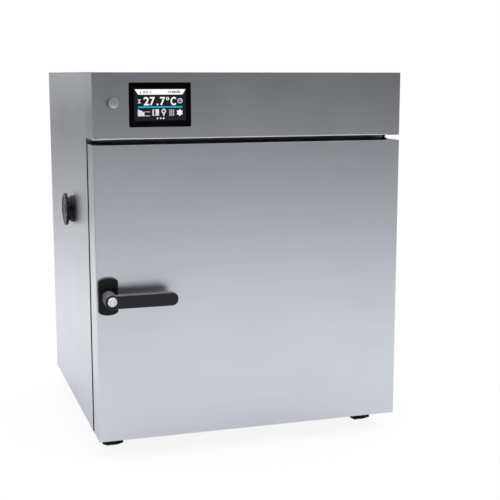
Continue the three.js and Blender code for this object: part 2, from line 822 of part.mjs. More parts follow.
// Hinges: a plate with a pin above and below the door, and a bush for each pin in the door.
function makeHinges() {
  const place = [hingeX, hingeFromFront];
  const pinBore = (from, to) => bar("z", hingePinRadius + seat, [from, to], place);
  const upperBush = [
    bar("z", bushRadius, [doorTop - bushLength, doorTop], place),
    bar("z", bushRadius - 1, [doorTop - 1, doorTop + bushCollar], place),
  ];
  const upperBore = pinBore(doorTop - hingePinReach - 1, doorTop + bushCollar + 1);
  add(door, "hinge_bush_top", shape(upperBush, [upperBore]), "blackPlastic");
  const lowerBush = bar("z", bushRadius, [doorBottom, doorBottom + bushLength], place);
  const lowerBore = pinBore(doorBottom - 1, doorBottom + hingePinReach + 1);
  add(door, "hinge_bush_bottom", shape([lowerBush], [lowerBore]), "blackPlastic");

  const plateBottom = fasciaBottom + sheet + seat;
  const across = [hingeX - 14, hingeX + 14];
  const upper = [
    block(across, [hingeFromFront - 10, frontDepth - seat], [plateBottom, plateBottom + 4]),
    block(across, [frontDepth - seat - 3, frontDepth - seat], [plateBottom, plateBottom + 26]),
    bar("z", hingePinRadius, [doorTop - hingePinReach, plateBottom + 1], place),
  ];
  add(cabinet, "hinge_bracket_top", shape(upper), "zinc");

  const lower = [
    block(
      [hingeX - 6, hingeX + 14],
      [hingeFromFront - 10, frontDepth + hingePlateReach],
      [base - hingePlate, base],
    ),
    bar("z", hingePinRadius, [base - 1, doorBottom + hingePinReach], place),
  ];
  add(cabinet, "hinge_bracket_bottom", shape(lower), "zinc");
}

// ---- Handle, lock and latch ----

function makeHandle() {
  const w = rosetteWidth / 2;
  const straight = rosetteHeight / 2 - rosetteBulge;
  const radius = (w * w + rosetteBulge * rosetteBulge) / (2 * rosetteBulge);
  const sweep = Math.asin(w / radius);
  const centre = straight + rosetteBulge - radius;
  const outline = new THREE.Shape();
  outline.moveTo(w, -straight);
  outline.lineTo(w, straight);
  outline.absarc(0, centre, radius, Math.PI / 2 - sweep, Math.PI / 2 + sweep);
  outline.lineTo(-w, -straight);
  outline.absarc(0, -centre, radius, -Math.PI / 2 - sweep, -Math.PI / 2 + sweep);
  const rosette = plate(outline, [-rosetteThickness, 0], [handleX, handleZ + 2]);
  const through = handleHole(-rosetteThickness - 1, 1);
  add(door, "handle_rosette", shape([rosette], [through]), "blackPlastic");

  const face = -handleStandOff;
  const place = [handleX, handleZ];
  const hubBack = -rosetteThickness - seat;
  const lockBack = face - lockProud + lockLength;
  const spindleFront = lockBack + 3;
  const armLength = leverLength + leverHeight / 2;
  const arm = plate(
    roundedOutline(armLength, leverHeight, leverHeight / 2 - 0.2),
    [face, face + leverThickness],
    [handleX + leverLength - armLength / 2, handleZ - 1],
  );
  const hub = bar("y", hubRadius, [face, hubBack], place, 40);
  const bores = [
    bar("y", lockRadius + seat, [face - 1, lockBack + seat], place, 32),
    bar("y", spindleRadius + seat, [spindleFront - seat, hubBack + 1], place, 20),
  ];
  add(lever, "lever_handle", shape([arm, hub], bores), "blackPlastic");

  const spindle = bar("y", spindleRadius, [spindleFront, pawlFront - seat], place, 20);
  add(lever, "latch_spindle", spindle, "zinc");
  const pawl = plate(
    roundedOutline(pawlWidth, pawlLength, 2),
    [pawlFront, pawlFront + pawlThickness],
    place,
    3,
  );
  add(lever, "latch_pawl", pawl, "zinc");

  const keyway = block(
    [handleX - 1, handleX + 1],
    [face - lockProud - 1, face - lockProud + 5],
    [handleZ - 4, handleZ + 4],
  );
  const cylinder = bar("y", lockRadius, [face - lockProud, lockBack], place, 32);
  add(lock, "lock_cylinder", shape([cylinder], [keyway]), "chrome");

  const front = frontDepth - strikerThickness;
  const plateBody = strikerSlot(front, frontDepth, strikerMargin);
  const slot = strikerSlot(front - 1, frontDepth + 1);
  add(cabinet, "striker_plate", shape([plateBody], [slot]), "zinc");
}

// ---- Mains inlet, fuse holder and blank plate on the back ----

function makeRearFittings() {
  const outerFace = overallDepth + inletFlange;
  const span = (size, middle) => [middle - size / 2, middle + size / 2];
  const flange = block(
    span(inletWidth + 20, inletX),
    [overallDepth, outerFace],
    span(inletHeight + 6, inletZ),
  );
  const body = block(span(inletWidth, inletX), [back - inletDepth, outerFace], span(inletHeight, inletZ));
  const socket = block(
    span(inletWidth - 7, inletX),
    [outerFace - 16, outerFace + 1],
    span(inletHeight - 10, inletZ),
  );
  add(cabinet, "mains_inlet", shape([flange, body], [socket]), "blackPlastic");

  const holder = [
    bar("y", fuseRadius + 2, [overallDepth, overallDepth + 4], [inletX, fuseZ]),
    bar("y", fuseRadius, [back - fuseDepth, overallDepth + 1], [inletX, fuseZ]),
  ];
  add(cabinet, "fuse_holder", shape(holder), "blackPlastic");

  const blank = plate(
    roundedOutline(96, 48, 3),
    [overallDepth, overallDepth + 0.8],
    [-halfWidth + 90, top - 190],
    3,
  );
  add(cabinet, "blank_plate", blank, "chrome");
}

// ---- Assembly ----

makeShell();
makeFeet();
makeInsulation();
makeChamber();
makeRacks();
makeShelf(lowerShelf, "shelf_lower", shelfLevels[0]);
makeShelf(upperShelf, "shelf_upper", shelfLevels[1]);
makeAirSystem();
makeFascia();
makeDisplay();
makeButton();
makePowerSupply();
makePort();
makeDoor();
makeHinges();
makeHandle();
makeRearFittings();

const footprint = new THREE.Box3().setFromObject(incubator).getCenter(new THREE.Vector3());
cabinet.position.set(-footprint.x, -footprint.y, 0);

export default incubator;
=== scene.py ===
"""Dresses the bench-top laboratory incubator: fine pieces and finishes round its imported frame.

Everything is in metres in the object's frame: X to the right, Y from the door to the back, Z up.
"""

import logging
import math
from collections.abc import Callable, Sequence
from dataclasses import dataclass
from enum import Enum
from functools import cache

import bmesh
import bpy
from mathutils import Matrix, Vector


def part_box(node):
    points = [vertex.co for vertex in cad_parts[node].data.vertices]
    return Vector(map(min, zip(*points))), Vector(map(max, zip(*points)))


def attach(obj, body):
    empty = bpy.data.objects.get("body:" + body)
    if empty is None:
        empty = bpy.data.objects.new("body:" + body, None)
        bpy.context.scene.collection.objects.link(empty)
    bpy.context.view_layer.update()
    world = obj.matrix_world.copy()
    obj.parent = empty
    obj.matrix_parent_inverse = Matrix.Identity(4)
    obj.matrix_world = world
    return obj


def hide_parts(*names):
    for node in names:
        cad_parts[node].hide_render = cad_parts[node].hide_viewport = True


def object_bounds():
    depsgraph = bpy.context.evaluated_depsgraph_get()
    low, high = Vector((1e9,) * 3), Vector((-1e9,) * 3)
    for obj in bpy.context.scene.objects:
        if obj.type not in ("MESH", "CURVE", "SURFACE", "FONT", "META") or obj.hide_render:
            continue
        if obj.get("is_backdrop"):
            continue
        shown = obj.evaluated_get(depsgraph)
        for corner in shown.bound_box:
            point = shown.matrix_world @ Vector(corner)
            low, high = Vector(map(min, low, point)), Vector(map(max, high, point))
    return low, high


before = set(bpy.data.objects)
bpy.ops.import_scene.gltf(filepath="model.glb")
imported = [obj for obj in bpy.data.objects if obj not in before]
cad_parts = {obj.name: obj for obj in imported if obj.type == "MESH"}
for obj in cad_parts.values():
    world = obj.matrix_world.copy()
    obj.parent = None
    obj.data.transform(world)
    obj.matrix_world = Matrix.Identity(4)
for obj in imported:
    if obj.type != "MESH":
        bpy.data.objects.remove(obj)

log = logging.getLogger("incubator")

MERGE = 1e-6
SHARP = math.radians(38)
SCREEN_BORDER = 0.006
Triple = tuple[float, float, float]
Pair = tuple[float, float]


def mm(value: float) -> float:
    """Returns millimetres as metres."""
    return value * 0.001


class Facing(Enum):
    """Where the local up direction of a turned or flat form points once it is placed."""

    UP = ("X", 0.0)
    FRONT = ("X", 90.0)
    BACK = ("X", -90.0)
    LEFT = ("Y", -90.0)

    def matrix(self) -> Matrix:
        """Returns the rotation as a 4x4 matrix."""
        axis, degrees = self.value
        return Matrix.Rotation(math.radians(degrees), 4, axis)


@dataclass(frozen=True)
class Span:
    """A box on the three axes."""

    low: Vector
    high: Vector

    @classmethod
    def of(cls, node: str) -> "Span":
        """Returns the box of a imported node."""
        return cls(*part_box(node))

    @property
    def centre(self) -> Vector:
        """Returns the middle of the box."""
        return (self.low + self.high) / 2

    @property
    def size(self) -> Vector:
        """Returns the box's three lengths."""
        return self.high - self.low

    def rims(self, edge: bmesh.types.BMEdge) -> bool:
        """Says whether an edge lies in the box's left, right, lower or upper side."""
        sides = [(axis, at) for axis in (0, 2) for at in (self.low[axis], self.high[axis])]
        return any(all(abs(v.co[axis] - at) < MERGE for v in edge.verts) for axis, at in sides)


def placed_object(name: str, data: bpy.types.ID) -> bpy.types.Object:
    """Makes an object and puts it into the scene.

    Args:
        name: its name.
        data: its mesh, text, camera or light.

    Returns:
        The new object.
    """
    holder = bpy.data.objects.new(name, data)
    bpy.context.scene.collection.objects.link(holder)
    return holder


def evaluated_mesh(holder: bpy.types.Object) -> bpy.types.Mesh:
    """Returns a new mesh of what an object looks like with its modifiers."""
    bpy.context.view_layer.update()
    return bpy.data.meshes.new_from_object(holder.evaluated_get(bpy.context.evaluated_depsgraph_get()))


class Form:
    """A mesh in the making, shaped with bmesh operators and placed in the object's frame."""

    def __init__(self) -> None:
        """Starts with an empty mesh."""
        self.bm = bmesh.new()

    # ---- Starting shapes ----

    @classmethod
    def block(
        cls, low: Sequence[float], high: Sequence[float], rim: float = 0.0, segments: int = 2
    ) -> "Form":
        """Makes a block with softened edges.

        Args:
            low: the lowest corner.
            high: the highest corner.
            rim: the width of the softened edges, or 0 for none.
            segments: faces across a softened edge.

        Returns:
            The new form.
        """
        form = cls()
        a, b = Vector(low), Vector(high)
        place = Matrix.Translation((a + b) / 2) @ Matrix.Diagonal((*(b - a), 1.0))
        bmesh.ops.create_cube(form.bm, size=1.0, matrix=place)
        return form.softened(rim, segments) if rim else form

    @classmethod
    def slab(
        cls, width: float, height: float, depth: float, corner: float, rim: float = 0.0, steps: int = 8
    ) -> "Form":
        """Makes a flat plate with round corners, lying on the XY plane about its middle.

        Args:
            width: length on X.
            height: length on Y.
            depth: thickness, upwards from 0.
            corner: radius of the corners.
            rim: width of the softened edge round the upper face.
            steps: faces round each corner.

        Returns:
            The new form.
        """
        form = cls()
        bmesh.ops.create_grid(form.bm, x_segments=1, y_segments=1, size=0.5)
        bmesh.ops.scale(form.bm, vec=(width, height, 1), verts=form.bm.verts)
        if corner:
            bmesh.ops.bevel(
                form.bm,
                geom=form.bm.verts[:],
                offset=corner,
                offset_type="OFFSET",
                segments=steps,
                profile=0.5,
                affect="VERTICES",
                material=-1,
            )
        return form.raised(depth, rim)

    @classmethod
    def outline(cls, points: Sequence[Pair], depth: float) -> "Form":
        """Makes a plate from the corners of a flat outline.

        Args:
            points: the corners, on X and Y.
            depth: thickness, upwards from 0.

        Returns:
            The new form.
        """
        form = cls()
        form.bm.faces.new([form.bm.verts.new((x, y, 0)) for x, y in points])
        return form.raised(depth)

    @classmethod
    def lathe(cls, profile: Sequence[Pair], steps: int = 64, closed: bool = False) -> "Form":
        """Turns a profile about the Z axis.

        Args:
            profile: points as radius and height.
            steps: faces round the axis.
            closed: whether the last point joins the first.

        Returns:
            The new form.
        """
        form = cls()
        bm = form.bm
        verts = [bm.verts.new((radius, 0, height)) for radius, height in profile]
        pairs = list(zip(verts, verts[1:])) + ([(verts[-1], verts[0])] if closed else [])
        edges = [bm.edges.new(pair) for pair in pairs]
        bmesh.ops.spin(
            bm,
            geom=verts + edges,
            cent=(0, 0, 0),
            axis=(0, 0, 1),
            dvec=(0, 0, 0),
            angle=math.tau,
            steps=steps,
            use_merge=True,
            use_duplicate=False,
        )
        bmesh.ops.remove_doubles(bm, verts=bm.verts, dist=MERGE)
        bmesh.ops.recalc_face_normals(bm, faces=bm.faces)
        return form

    @classmethod
    def rod(
        cls, start: Sequence[float], end: Sequence[float], radius: float, sides: int, rim: float = 0.0
    ) -> "Form":
        """Makes a round bar between two points.

        Args:
            start: the middle of one end.
            end: the middle of the other end.
            radius: the bar's radius.
            sides: faces round the bar.
            rim: width of the softened edges at its ends.

        Returns:
            The new form.
        """
        form = cls()
        a, b = Vector(start), Vector(end)
        turn = (b - a).to_track_quat("Z", "Y").to_matrix().to_4x4()
        bmesh.ops.create_cone(
            form.bm,
            cap_ends=True,
            cap_tris=False,
            segments=sides,
            radius1=radius,
            radius2=radius,
            depth=(b - a).length,
            matrix=Matrix.Translation((a + b) / 2) @ turn,
        )
        return form.softened(rim, 3) if rim else form

    @classmethod
    def of_node(cls, node: str) -> "Form":
        """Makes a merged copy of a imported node, with its flat faces whole again."""
        form = cls()
        bm = form.bm
        bm.from_mesh(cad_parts[node].data)
        bmesh.ops.remove_doubles(bm, verts=bm.verts, dist=MERGE)
        bmesh.ops.dissolve_limit(
            bm, angle_limit=math.radians(0.5), use_dissolve_boundaries=False, verts=bm.verts, edges=bm.edges
        )
        bmesh.ops.connect_verts_concave(bm, faces=bm.faces[:])
        return form

    @classmethod
    def lettering(cls, text: str, low: Pair, high: Pair, depth: float, weight: float) -> "Form":
        """Makes flat figures that fill a rectangle on the XY plane.

        Args:
            text: the characters.
            low: the rectangle's lowest corner.
            high: its highest corner.
            depth: thickness, upwards from 0.
            weight: how far the strokes are thickened, as a share of the height.

        Returns:
            The new form.
        """
        curve = bpy.data.curves.new("lettering", "FONT")
        curve.body, curve.size, curve.offset, curve.extrude = text, 1.0, weight, 0.05
        curve.resolution_u = 6
        holder = placed_object("lettering", curve)
        mesh = evaluated_mesh(holder)
        form = cls()
        form.bm.from_mesh(mesh)
        bpy.data.objects.remove(holder)
        bpy.data.meshes.remove(mesh)
        bmesh.ops.remove_doubles(form.bm, verts=form.bm.verts, dist=1e-5)
        wanted = (high[0] - low[0], high[1] - low[1], depth)
        least = [min(v.co[axis] for v in form.bm.verts) for axis in range(3)]
        most = [max(v.co[axis] for v in form.bm.verts) for axis in range(3)]
        scale = [length / (b - a) for length, a, b in zip(wanted, least, most)]
        bmesh.ops.translate(form.bm, vec=-Vector(least), verts=form.bm.verts)
        bmesh.ops.scale(form.bm, vec=scale, verts=form.bm.verts)
        bmesh.ops.translate(form.bm, vec=(*low, 0), verts=form.bm.verts)
        return form

    # ---- Shaping ----

    def raised(self, depth: float, rim: float = 0.0) -> "Form":
        """Raises a flat face into a plate.

        Args:
            depth: its thickness, upwards from 0.
            rim: width of the softened edge round the upper face, or 0 for none.

        Returns:
            This form.
        """
        bm = self.bm
        raised = bmesh.ops.extrude_face_region(bm, geom=bm.faces[:])
        top = [v for v in raised["geom"] if isinstance(v, bmesh.types.BMVert)]
        bmesh.ops.translate(bm, vec=(0, 0, depth), verts=top)
        bmesh.ops.recalc_face_normals(bm, faces=bm.faces)
        if rim:
            self.softened(rim, 3, lambda edge: all(v.co.z > depth - MERGE for v in edge.verts))
        return self

    def split(self, axis: int, at: float) -> "Form":
        """Cuts the form's faces along a plane across an axis, without parting them.

        Args:
            axis: 0, 1 or 2.
            at: the plane's place on that axis.

        Returns:
            This form.
        """
        place, across = Vector(), Vector()
        place[axis], across[axis] = at, 1.0
        geometry = self.bm.verts[:] + self.bm.edges[:] + self.bm.faces[:]
        bmesh.ops.bisect_plane(self.bm, geom=geometry, dist=MERGE, plane_co=place, plane_no=across)
        return self

    def softened(
        self,
        width: float,
        segments: int = 2,
        chosen: Callable[[bmesh.types.BMEdge], bool] | None = None,
    ) -> "Form":
        """Rounds the sharp edges.

        Args:
            width: the width of the rounding on each side of an edge.
            segments: faces across the rounding.
            chosen: says which sharp edges are meant; all of them if it isn't given.

        Returns:
            This form.
        """
        edges = [
            edge
            for edge in self.bm.edges
            if len(edge.link_faces) == 2
            and edge.calc_face_angle() > SHARP
            and (chosen is None or chosen(edge))
        ]
        bmesh.ops.bevel(
            self.bm,
            geom=edges,
            offset=width,
            offset_type="OFFSET",
            segments=segments,
            profile=0.5,
            affect="EDGES",
            clamp_overlap=True,
            material=-1,
        )
        return self

    def placed(self, at: Sequence[float], facing: Facing = Facing.UP) -> "Form":
        """Turns the form to a direction and moves its origin to a point."""
        place = Matrix.Translation(Vector(at)) @ facing.matrix()
        bmesh.ops.transform(self.bm, matrix=place, verts=self.bm.verts)
        return self

    def turned(self, degrees: float, axis: str, about: Sequence[float] = (0, 0, 0)) -> "Form":
        """Turns the form about an axis through a point.

        Args:
            degrees: how far.
            axis: X, Y or Z.
            about: the point.

        Returns:
            This form.
        """
        bmesh.ops.rotate(
            self.bm,
            cent=Vector(about),
            matrix=Matrix.Rotation(math.radians(degrees), 3, axis),
            verts=self.bm.verts,
        )
        return self

    def with_forms(self, *others: "Form") -> "Form":
        """Takes other forms into this mesh as they are."""
        for other in others:
            mesh = bpy.data.meshes.new("part")
            other.bm.to_mesh(mesh)
            self.bm.from_mesh(mesh)
            bpy.data.meshes.remove(mesh)
            other.bm.free()
        return self

    def carved(self, *tools: "Form") -> "Form":
        """Takes the space of other forms away from this one."""
        for tool in tools:
            self._solve(tool, "DIFFERENCE")
        return self

    def fused(self, *others: "Form") -> "Form":
        """Joins other forms and this one into one closed skin."""
        for other in others:
            self._solve(other, "UNION")
        return self

    def _solve(self, other: "Form", operation: str) -> None:
        """Replaces this mesh by its exact boolean with another form.

        Args:
            other: the other form, which is used up.
            operation: UNION or DIFFERENCE.
        """
        pair = []
        for form in (self, other):
            mesh = bpy.data.meshes.new("solve")
            form.bm.to_mesh(mesh)
            form.bm.free()
            pair.append(placed_object("solve", mesh))
        modifier = pair[0].modifiers.new("solve", "BOOLEAN")
        modifier.operation, modifier.solver, modifier.object = operation, "EXACT", pair[1]
        solved = evaluated_mesh(pair[0])
        self.bm = bmesh.new()
        self.bm.from_mesh(solved)
        for mesh in (solved, *(holder.data for holder in pair)):
            bpy.data.meshes.remove(mesh)

    # ---- Finishing ----

    def piece(
        self,
        name: str,
        body: str,
        finish: "Finish",
        slot: str,
        replaces: Sequence[str] = (),
        second: "Finish | None" = None,
        where: Callable[[bmesh.types.BMFace], bool] | None = None,
    ) -> bpy.types.Object:
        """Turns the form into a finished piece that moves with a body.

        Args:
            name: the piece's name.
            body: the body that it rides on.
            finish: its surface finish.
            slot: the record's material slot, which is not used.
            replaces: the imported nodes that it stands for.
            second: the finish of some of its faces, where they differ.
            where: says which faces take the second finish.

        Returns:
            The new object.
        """
        bm = self.bm
        bmesh.ops.remove_doubles(bm, verts=bm.verts, dist=MERGE)
        for face in bm.faces:
            face.smooth = True
            face.material_index = 1 if where and where(face) else 0
        for edge in bm.edges:
            edge.smooth = len(edge.link_faces) == 2 and edge.calc_face_angle(0.0) < SHARP
        mesh = bpy.data.meshes.new(name)
        bm.to_mesh(mesh)
        bm.free()
        for layer in (finish, second) if second else (finish,):
            mesh.materials.append(layer.material())
        holder = placed_object(name, mesh)
        shading = holder.modifiers.new("even_shading", "WEIGHTED_NORMAL")
        shading.keep_sharp, shading.weight = True, 90
        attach(holder, body)
        if replaces:
            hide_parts(*replaces)
        log.info("%s: %d faces, on %s", name, len(mesh.polygons), body)
        return holder


# ---- Nodes and shared effects ----


Value = float | Triple | bpy.types.Node | bpy.types.NodeSocket
ORIGIN: Triple = (0.0, 0.0, 0.0)
MULTIPLY = {"operation": "MULTIPLY"}
SMOOTH = {"interpolation_type": "SMOOTHSTEP"}
# Share of the colour left deep in gaps and corners: painted shade.
PAINTED_GAP_SHADE = 0.05


class Nodes:
    """A tree of shader nodes in the making."""

    def __init__(self, tree: bpy.types.NodeTree) -> None:
        """Takes the tree that the nodes go into."""
        self.tree = tree

    def feed(self, target: bpy.types.NodeSocket, value: Value) -> None:
        """Links a socket to another one or to a node's first output, or sets its own value.

        Args:
            target: the socket.
            value: a socket, a node, a number, or a colour or vector of three.
        """
        if isinstance(value, bpy.types.Node):
            value = value.outputs[0]
        if isinstance(value, bpy.types.NodeSocket):
            self.tree.links.new(value, target)
        else:
            target.default_value = (*value, 1) if target.type == "RGBA" else value

    def add(
        self, kind: str, *operands: Value, setup: dict[str, object] | None = None, **inputs: Value
    ) -> bpy.types.Node:
        """Adds a shader node.

        Args:
            kind: the node's type, without the ShaderNode that it begins with.
            *operands: what goes into its first sockets, in their order.
            setup: the node's own settings, by name.
            **inputs: what goes into its other sockets, by name, with _ for a space.

        Returns:
            The new node.
        """
        made = self.tree.nodes.new(f"ShaderNode{kind}")
        for title, value in (setup or {}).items():
            setattr(made, title, value)
        for socket, value in zip(made.inputs, operands):
            self.feed(socket, value)
        for title, value in inputs.items():
            self.feed(made.inputs[title.replace("_", " ")], value)
        return made


class Effect(Nodes):
    """A shader node group that several finishes use. It works on the Vector that it is given."""

    def __init__(self, name: str, **inputs: float | Triple) -> None:
        """Starts a group.

        Args:
            name: the group's name.
            **inputs: its inputs besides Vector, with their first values.
        """
        super().__init__(bpy.data.node_groups.new(name, "ShaderNodeTree"))
        for title, value in {"Vector": ORIGIN, **inputs}.items():
            kind = "NodeSocketFloat" if isinstance(value, float) else "NodeSocketVector"
            socket = self.tree.interface.new_socket(name=title, in_out="INPUT", socket_type=kind)
            socket.default_value = value
        self.start = self.tree.nodes.new("NodeGroupInput")

    def given(self, title: str) -> bpy.types.NodeSocket:
        """Returns what the group was given as one of its inputs."""
        return self.start.outputs[title]

    def finished(self, **outputs: Value) -> bpy.types.NodeTree:
        """Gives the group its value outputs.

        Args:
            **outputs: what each output puts out, by name.

        Returns:
            The group.
        """
        for title in outputs:
            self.tree.interface.new_socket(name=title, in_out="OUTPUT", socket_type="NodeSocketFloat")
        end = self.tree.nodes.new("NodeGroupOutput")
        for title, value in outputs.items():
            self.feed(end.inputs[title], value)
        return self.tree


@cache
def drawn_grain() -> bpy.types.NodeTree:
    """Returns lines drawn out along one direction: input Across shrinks the pattern on each axis."""
    effect = Effect("drawn_grain", Across=ORIGIN, Broad=0.16)
    place = effect.add("VectorMath", effect.given("Vector"), effect.given("Across"), setup=MULTIPLY)
    fine = effect.add("TexNoise", Vector=place, Scale=1.0, Detail=2.0, Roughness=0.6)
    broad = effect.add("TexNoise", Vector=place, Scale=effect.given("Broad"), Detail=3.0, Roughness=0.55)
    return effect.finished(Lines=fine, Streaks=broad)


@cache
def handling_marks() -> bpy.types.NodeTree:
    """Returns soft patches, as handling leaves: output Patches runs from 0 to 1."""
    effect = Effect("handling_marks", Size=9.0)
    place, size = effect.given("Vector"), effect.given("Size")
    noise = effect.add("TexNoise", Vector=place, Scale=size, Detail=4.0, Roughness=0.5)
    return effect.finished(
        Patches=effect.add("MapRange", setup=SMOOTH, Value=noise, From_Min=0.42, From_Max=0.68)
    )


@cache
def dust_and_top_highlight() -> bpy.types.NodeTree:
    """Returns a lighter mask on faces that look up, output Cover: a settled dusting that, where strong, is a
    painted highlight along the tops.
    """
    effect = Effect("dust_and_top_highlight", Amount=0.2)
    normal = effect.add("SeparateXYZ", effect.add("NewGeometry").outputs["Normal"])
    upward = effect.add("Math", normal.outputs["Z"], 0.0, setup={"operation": "MAXIMUM"})
    noise = effect.add("TexNoise", Vector=effect.given("Vector"), Scale=60.0, Detail=5.0, Roughness=0.65)
    patchy = effect.add("Math", upward, noise, setup=MULTIPLY)
    return effect.finished(Cover=effect.add("Math", patchy, effect.given("Amount"), setup=MULTIPLY))


@cache
def moulded_relief() -> bpy.types.NodeTree:
    """Returns the fine relief of a moulded or cast surface, as a height and a mottle."""
    effect = Effect("moulded_relief", Size=1400.0)
    cells = effect.add("TexVoronoi", Vector=effect.given("Vector"), Scale=effect.given("Size"))
    mottle = effect.add("TexNoise", Vector=effect.given("Vector"), Scale=85.0, Detail=4.0, Roughness=0.6)
    return effect.finished(Height=cells.outputs["Distance"], Mottle=mottle)


class Surface(Nodes):
    """A material's nodes round one principled shader."""

    def __init__(self, name: str) -> None:
        """Makes the material with its shader and its Object coordinates."""
        self.material = bpy.data.materials.new(name)
        self.material.use_nodes = True
        super().__init__(self.material.node_tree)
        self.shader = self.tree.nodes["Principled BSDF"]
        self.place = self.add("TexCoord").outputs["Object"]

    def shade(self, **inputs: Value) -> None:
        """Feeds sockets of the shader by name, with _ for a space."""
        for title, value in inputs.items():
            self.feed(self.shader.inputs[title.replace("_", " ")], value)

    def effect(self, group: bpy.types.NodeTree, **inputs: Value) -> bpy.types.Node:
        """Places a shared effect, fed with this material's coordinates."""
        return self.add("Group", setup={"node_tree": group}, Vector=self.place, **inputs)

    def mixed(self, share: Value, first: Value, second: Value) -> bpy.types.NodeSocket:
        """Returns a colour that runs from one to another by a mask."""
        return self.add("Mix", setup={"data_type": "RGBA"}, Factor=share, A=first, B=second).outputs["Result"]

    def with_dust_and_highlight(self, colour: Value, amount: float, dust_and_highlight: Triple) -> bpy.types.NodeSocket:
        """Returns a colour lightened on the faces that look up: a dusting, and a painted highlight where the
        amount is high.
        """
        return self.mixed(self.effect(dust_and_top_highlight(), Amount=amount), colour, dust_and_highlight)

    def spread(self, value: Value, low: float, high: float) -> bpy.types.Node:
        """Returns a value from 0 to 1 as one between two limits."""
        return self.add("MapRange", Value=value, To_Min=low, To_Max=high)

    def bump(self, height: Value, strength: float, distance: float) -> bpy.types.Node:
        """Returns the normals of a relief."""
        return self.add("Bump", Height=height, Strength=strength, Distance=distance)

    def painted_gap_shade(self, reach: float) -> bpy.types.Node:
        """Returns a mask of painted shade: 1 deep in a gap up to a width and 0 on open faces."""
        open_air = self.add("AmbientOcclusion", setup={"samples": 6}, Distance=reach)
        return self.add("MapRange", setup=SMOOTH, Value=open_air.outputs["AO"], From_Min=0.5, From_Max=0.28)


# ---- Finishes ----


class Grain(Enum):
    """The direction in which a steel surface was brushed, as the pattern's scale on each axis."""

    ALONG_X = (22.0, 1150.0, 1150.0)
    ALONG_Y = (1150.0, 22.0, 1150.0)
    ALONG_Z = (1150.0, 1150.0, 22.0)


def scaled(colour: Triple, factor: float) -> Triple:
    """Returns a colour made lighter or darker."""
    return tuple(min(1.0, part * factor) for part in colour)


@dataclass(frozen=True)
class Finish:
    """A surface finish, made into a material the first time that a piece asks for it."""

    name: str
    colour: Triple
    roughness: float

    def material(self) -> bpy.types.Material:
        """Returns the finish as a material."""
        known = bpy.data.materials.get(self.name)
        if known:
            return known
        surface = Surface(self.name)
        self.dress(surface)
        return surface.material

    def dress(self, surface: Surface) -> None:
        """Sets the surface's nodes."""
        raise NotImplementedError

    def mottled(self, surface: Surface, mask: Value, low: float, high: float) -> bpy.types.NodeSocket:
        """Returns the finish's colour, scaled from one factor to another by a mask."""
        return surface.mixed(mask, scaled(self.colour, low), scaled(self.colour, high))

    def handled(
        self, surface: Surface, relief: Value, swing: float, size: float, smear: float
    ) -> bpy.types.Node:
        """Returns the roughness, which follows a relief and rises where the surface was touched.

        Args:
            surface: the nodes that it goes into.
            relief: the relief, from 0 to 1.
            swing: how far the relief changes it.
            size: the scale of the handling marks.
            smear: how far they raise it.

        Returns:
            The node that puts it out.
        """
        marks = surface.effect(handling_marks(), Size=size)
        base = surface.spread(relief, self.roughness - swing, self.roughness + swing)
        return surface.add("Math", base, surface.spread(marks, 0.0, smear))


@dataclass(frozen=True)
class BrushedSteel(Finish):
    """Satin stainless steel with drawn grain and faint handling marks."""

    grain: Grain = Grain.ALONG_X
    contrast: float = 0.035
    # Reach of the painted shade in gaps and corners.
    gap: float = 0.016

    def dress(self, surface: Surface) -> None:
        """Sets the surface's nodes."""
        lines = surface.effect(drawn_grain(), Across=self.grain.value)
        colour = self.mottled(surface, lines.outputs["Streaks"], 1 - self.contrast, 1 + self.contrast)
        # Lighter on faces that look up: a dusting, which where strong stands for a painted highlight.
        colour = surface.with_dust_and_highlight(colour, 0.12, (0.55, 0.54, 0.52))
        # The base colour darkens deep in gaps and corners: painted shade.
        surface.shade(
            Base_Color=surface.mixed(surface.painted_gap_shade(self.gap), colour, scaled(self.colour, PAINTED_GAP_SHADE)),
            Roughness=self.handled(surface, lines.outputs["Lines"], 0.03, 7.0, 0.025),
            Normal=surface.bump(lines.outputs["Lines"], 0.12, mm(0.02)),
            Metallic=1.0,
        )


@dataclass(frozen=True)
class PlatedSteel(Finish):
    """Zinc-plated sheet, and a dark sheet that stands for painted shade, with a crystalline mottle."""

    metallic: float = 0.9

    def dress(self, surface: Surface) -> None:
        """Sets the surface's nodes."""
        spangle = surface.effect(moulded_relief(), Size=130.0)
        colour = self.mottled(surface, spangle.outputs["Mottle"], 0.86, 1.12)
        # Lighter on faces that look up: a dusting, which where strong stands for a painted highlight.
        surface.shade(
            Base_Color=surface.with_dust_and_highlight(colour, 0.25, (0.42, 0.41, 0.39)),
            Roughness=self.handled(surface, spangle.outputs["Height"], 0.05, 16.0, 0.06),
            Normal=surface.bump(spangle.outputs["Mottle"], 0.1, mm(0.05)),
            Metallic=self.metallic,
        )


@dataclass(frozen=True)
class Moulding(Finish):
    """Moulded plastic, rubber or silicone with a fine relief."""

    size: float = 1500.0
    relief: float = 0.18
    sheen: float = 0.0
    gloss: float = 0.5
    dust_and_highlight: float = 0.1
    # Reach of the painted shade in gaps and corners.
    gap: float = 0.016

    def dress(self, surface: Surface) -> None:
        """Sets the surface's nodes."""
        pebble = surface.effect(moulded_relief(), Size=self.size)
        colour = self.mottled(surface, pebble.outputs["Mottle"], 0.85, 1.15)
        # Lighter on faces that look up: a dusting, which where strong stands for a painted highlight.
        colour = surface.with_dust_and_highlight(colour, self.dust_and_highlight, (0.4, 0.405, 0.415))
        # The base colour darkens deep in gaps and corners: painted shade.
        surface.shade(
            Base_Color=surface.mixed(surface.painted_gap_shade(self.gap), colour, scaled(self.colour, PAINTED_GAP_SHADE)),
            Roughness=self.handled(surface, pebble.outputs["Mottle"], 0.04, 24.0, 0.07),
            Normal=surface.bump(pebble.outputs["Height"], self.relief, mm(0.05)),
            Sheen_Weight=self.sheen,
            Specular_IOR_Level=self.gloss,
        )


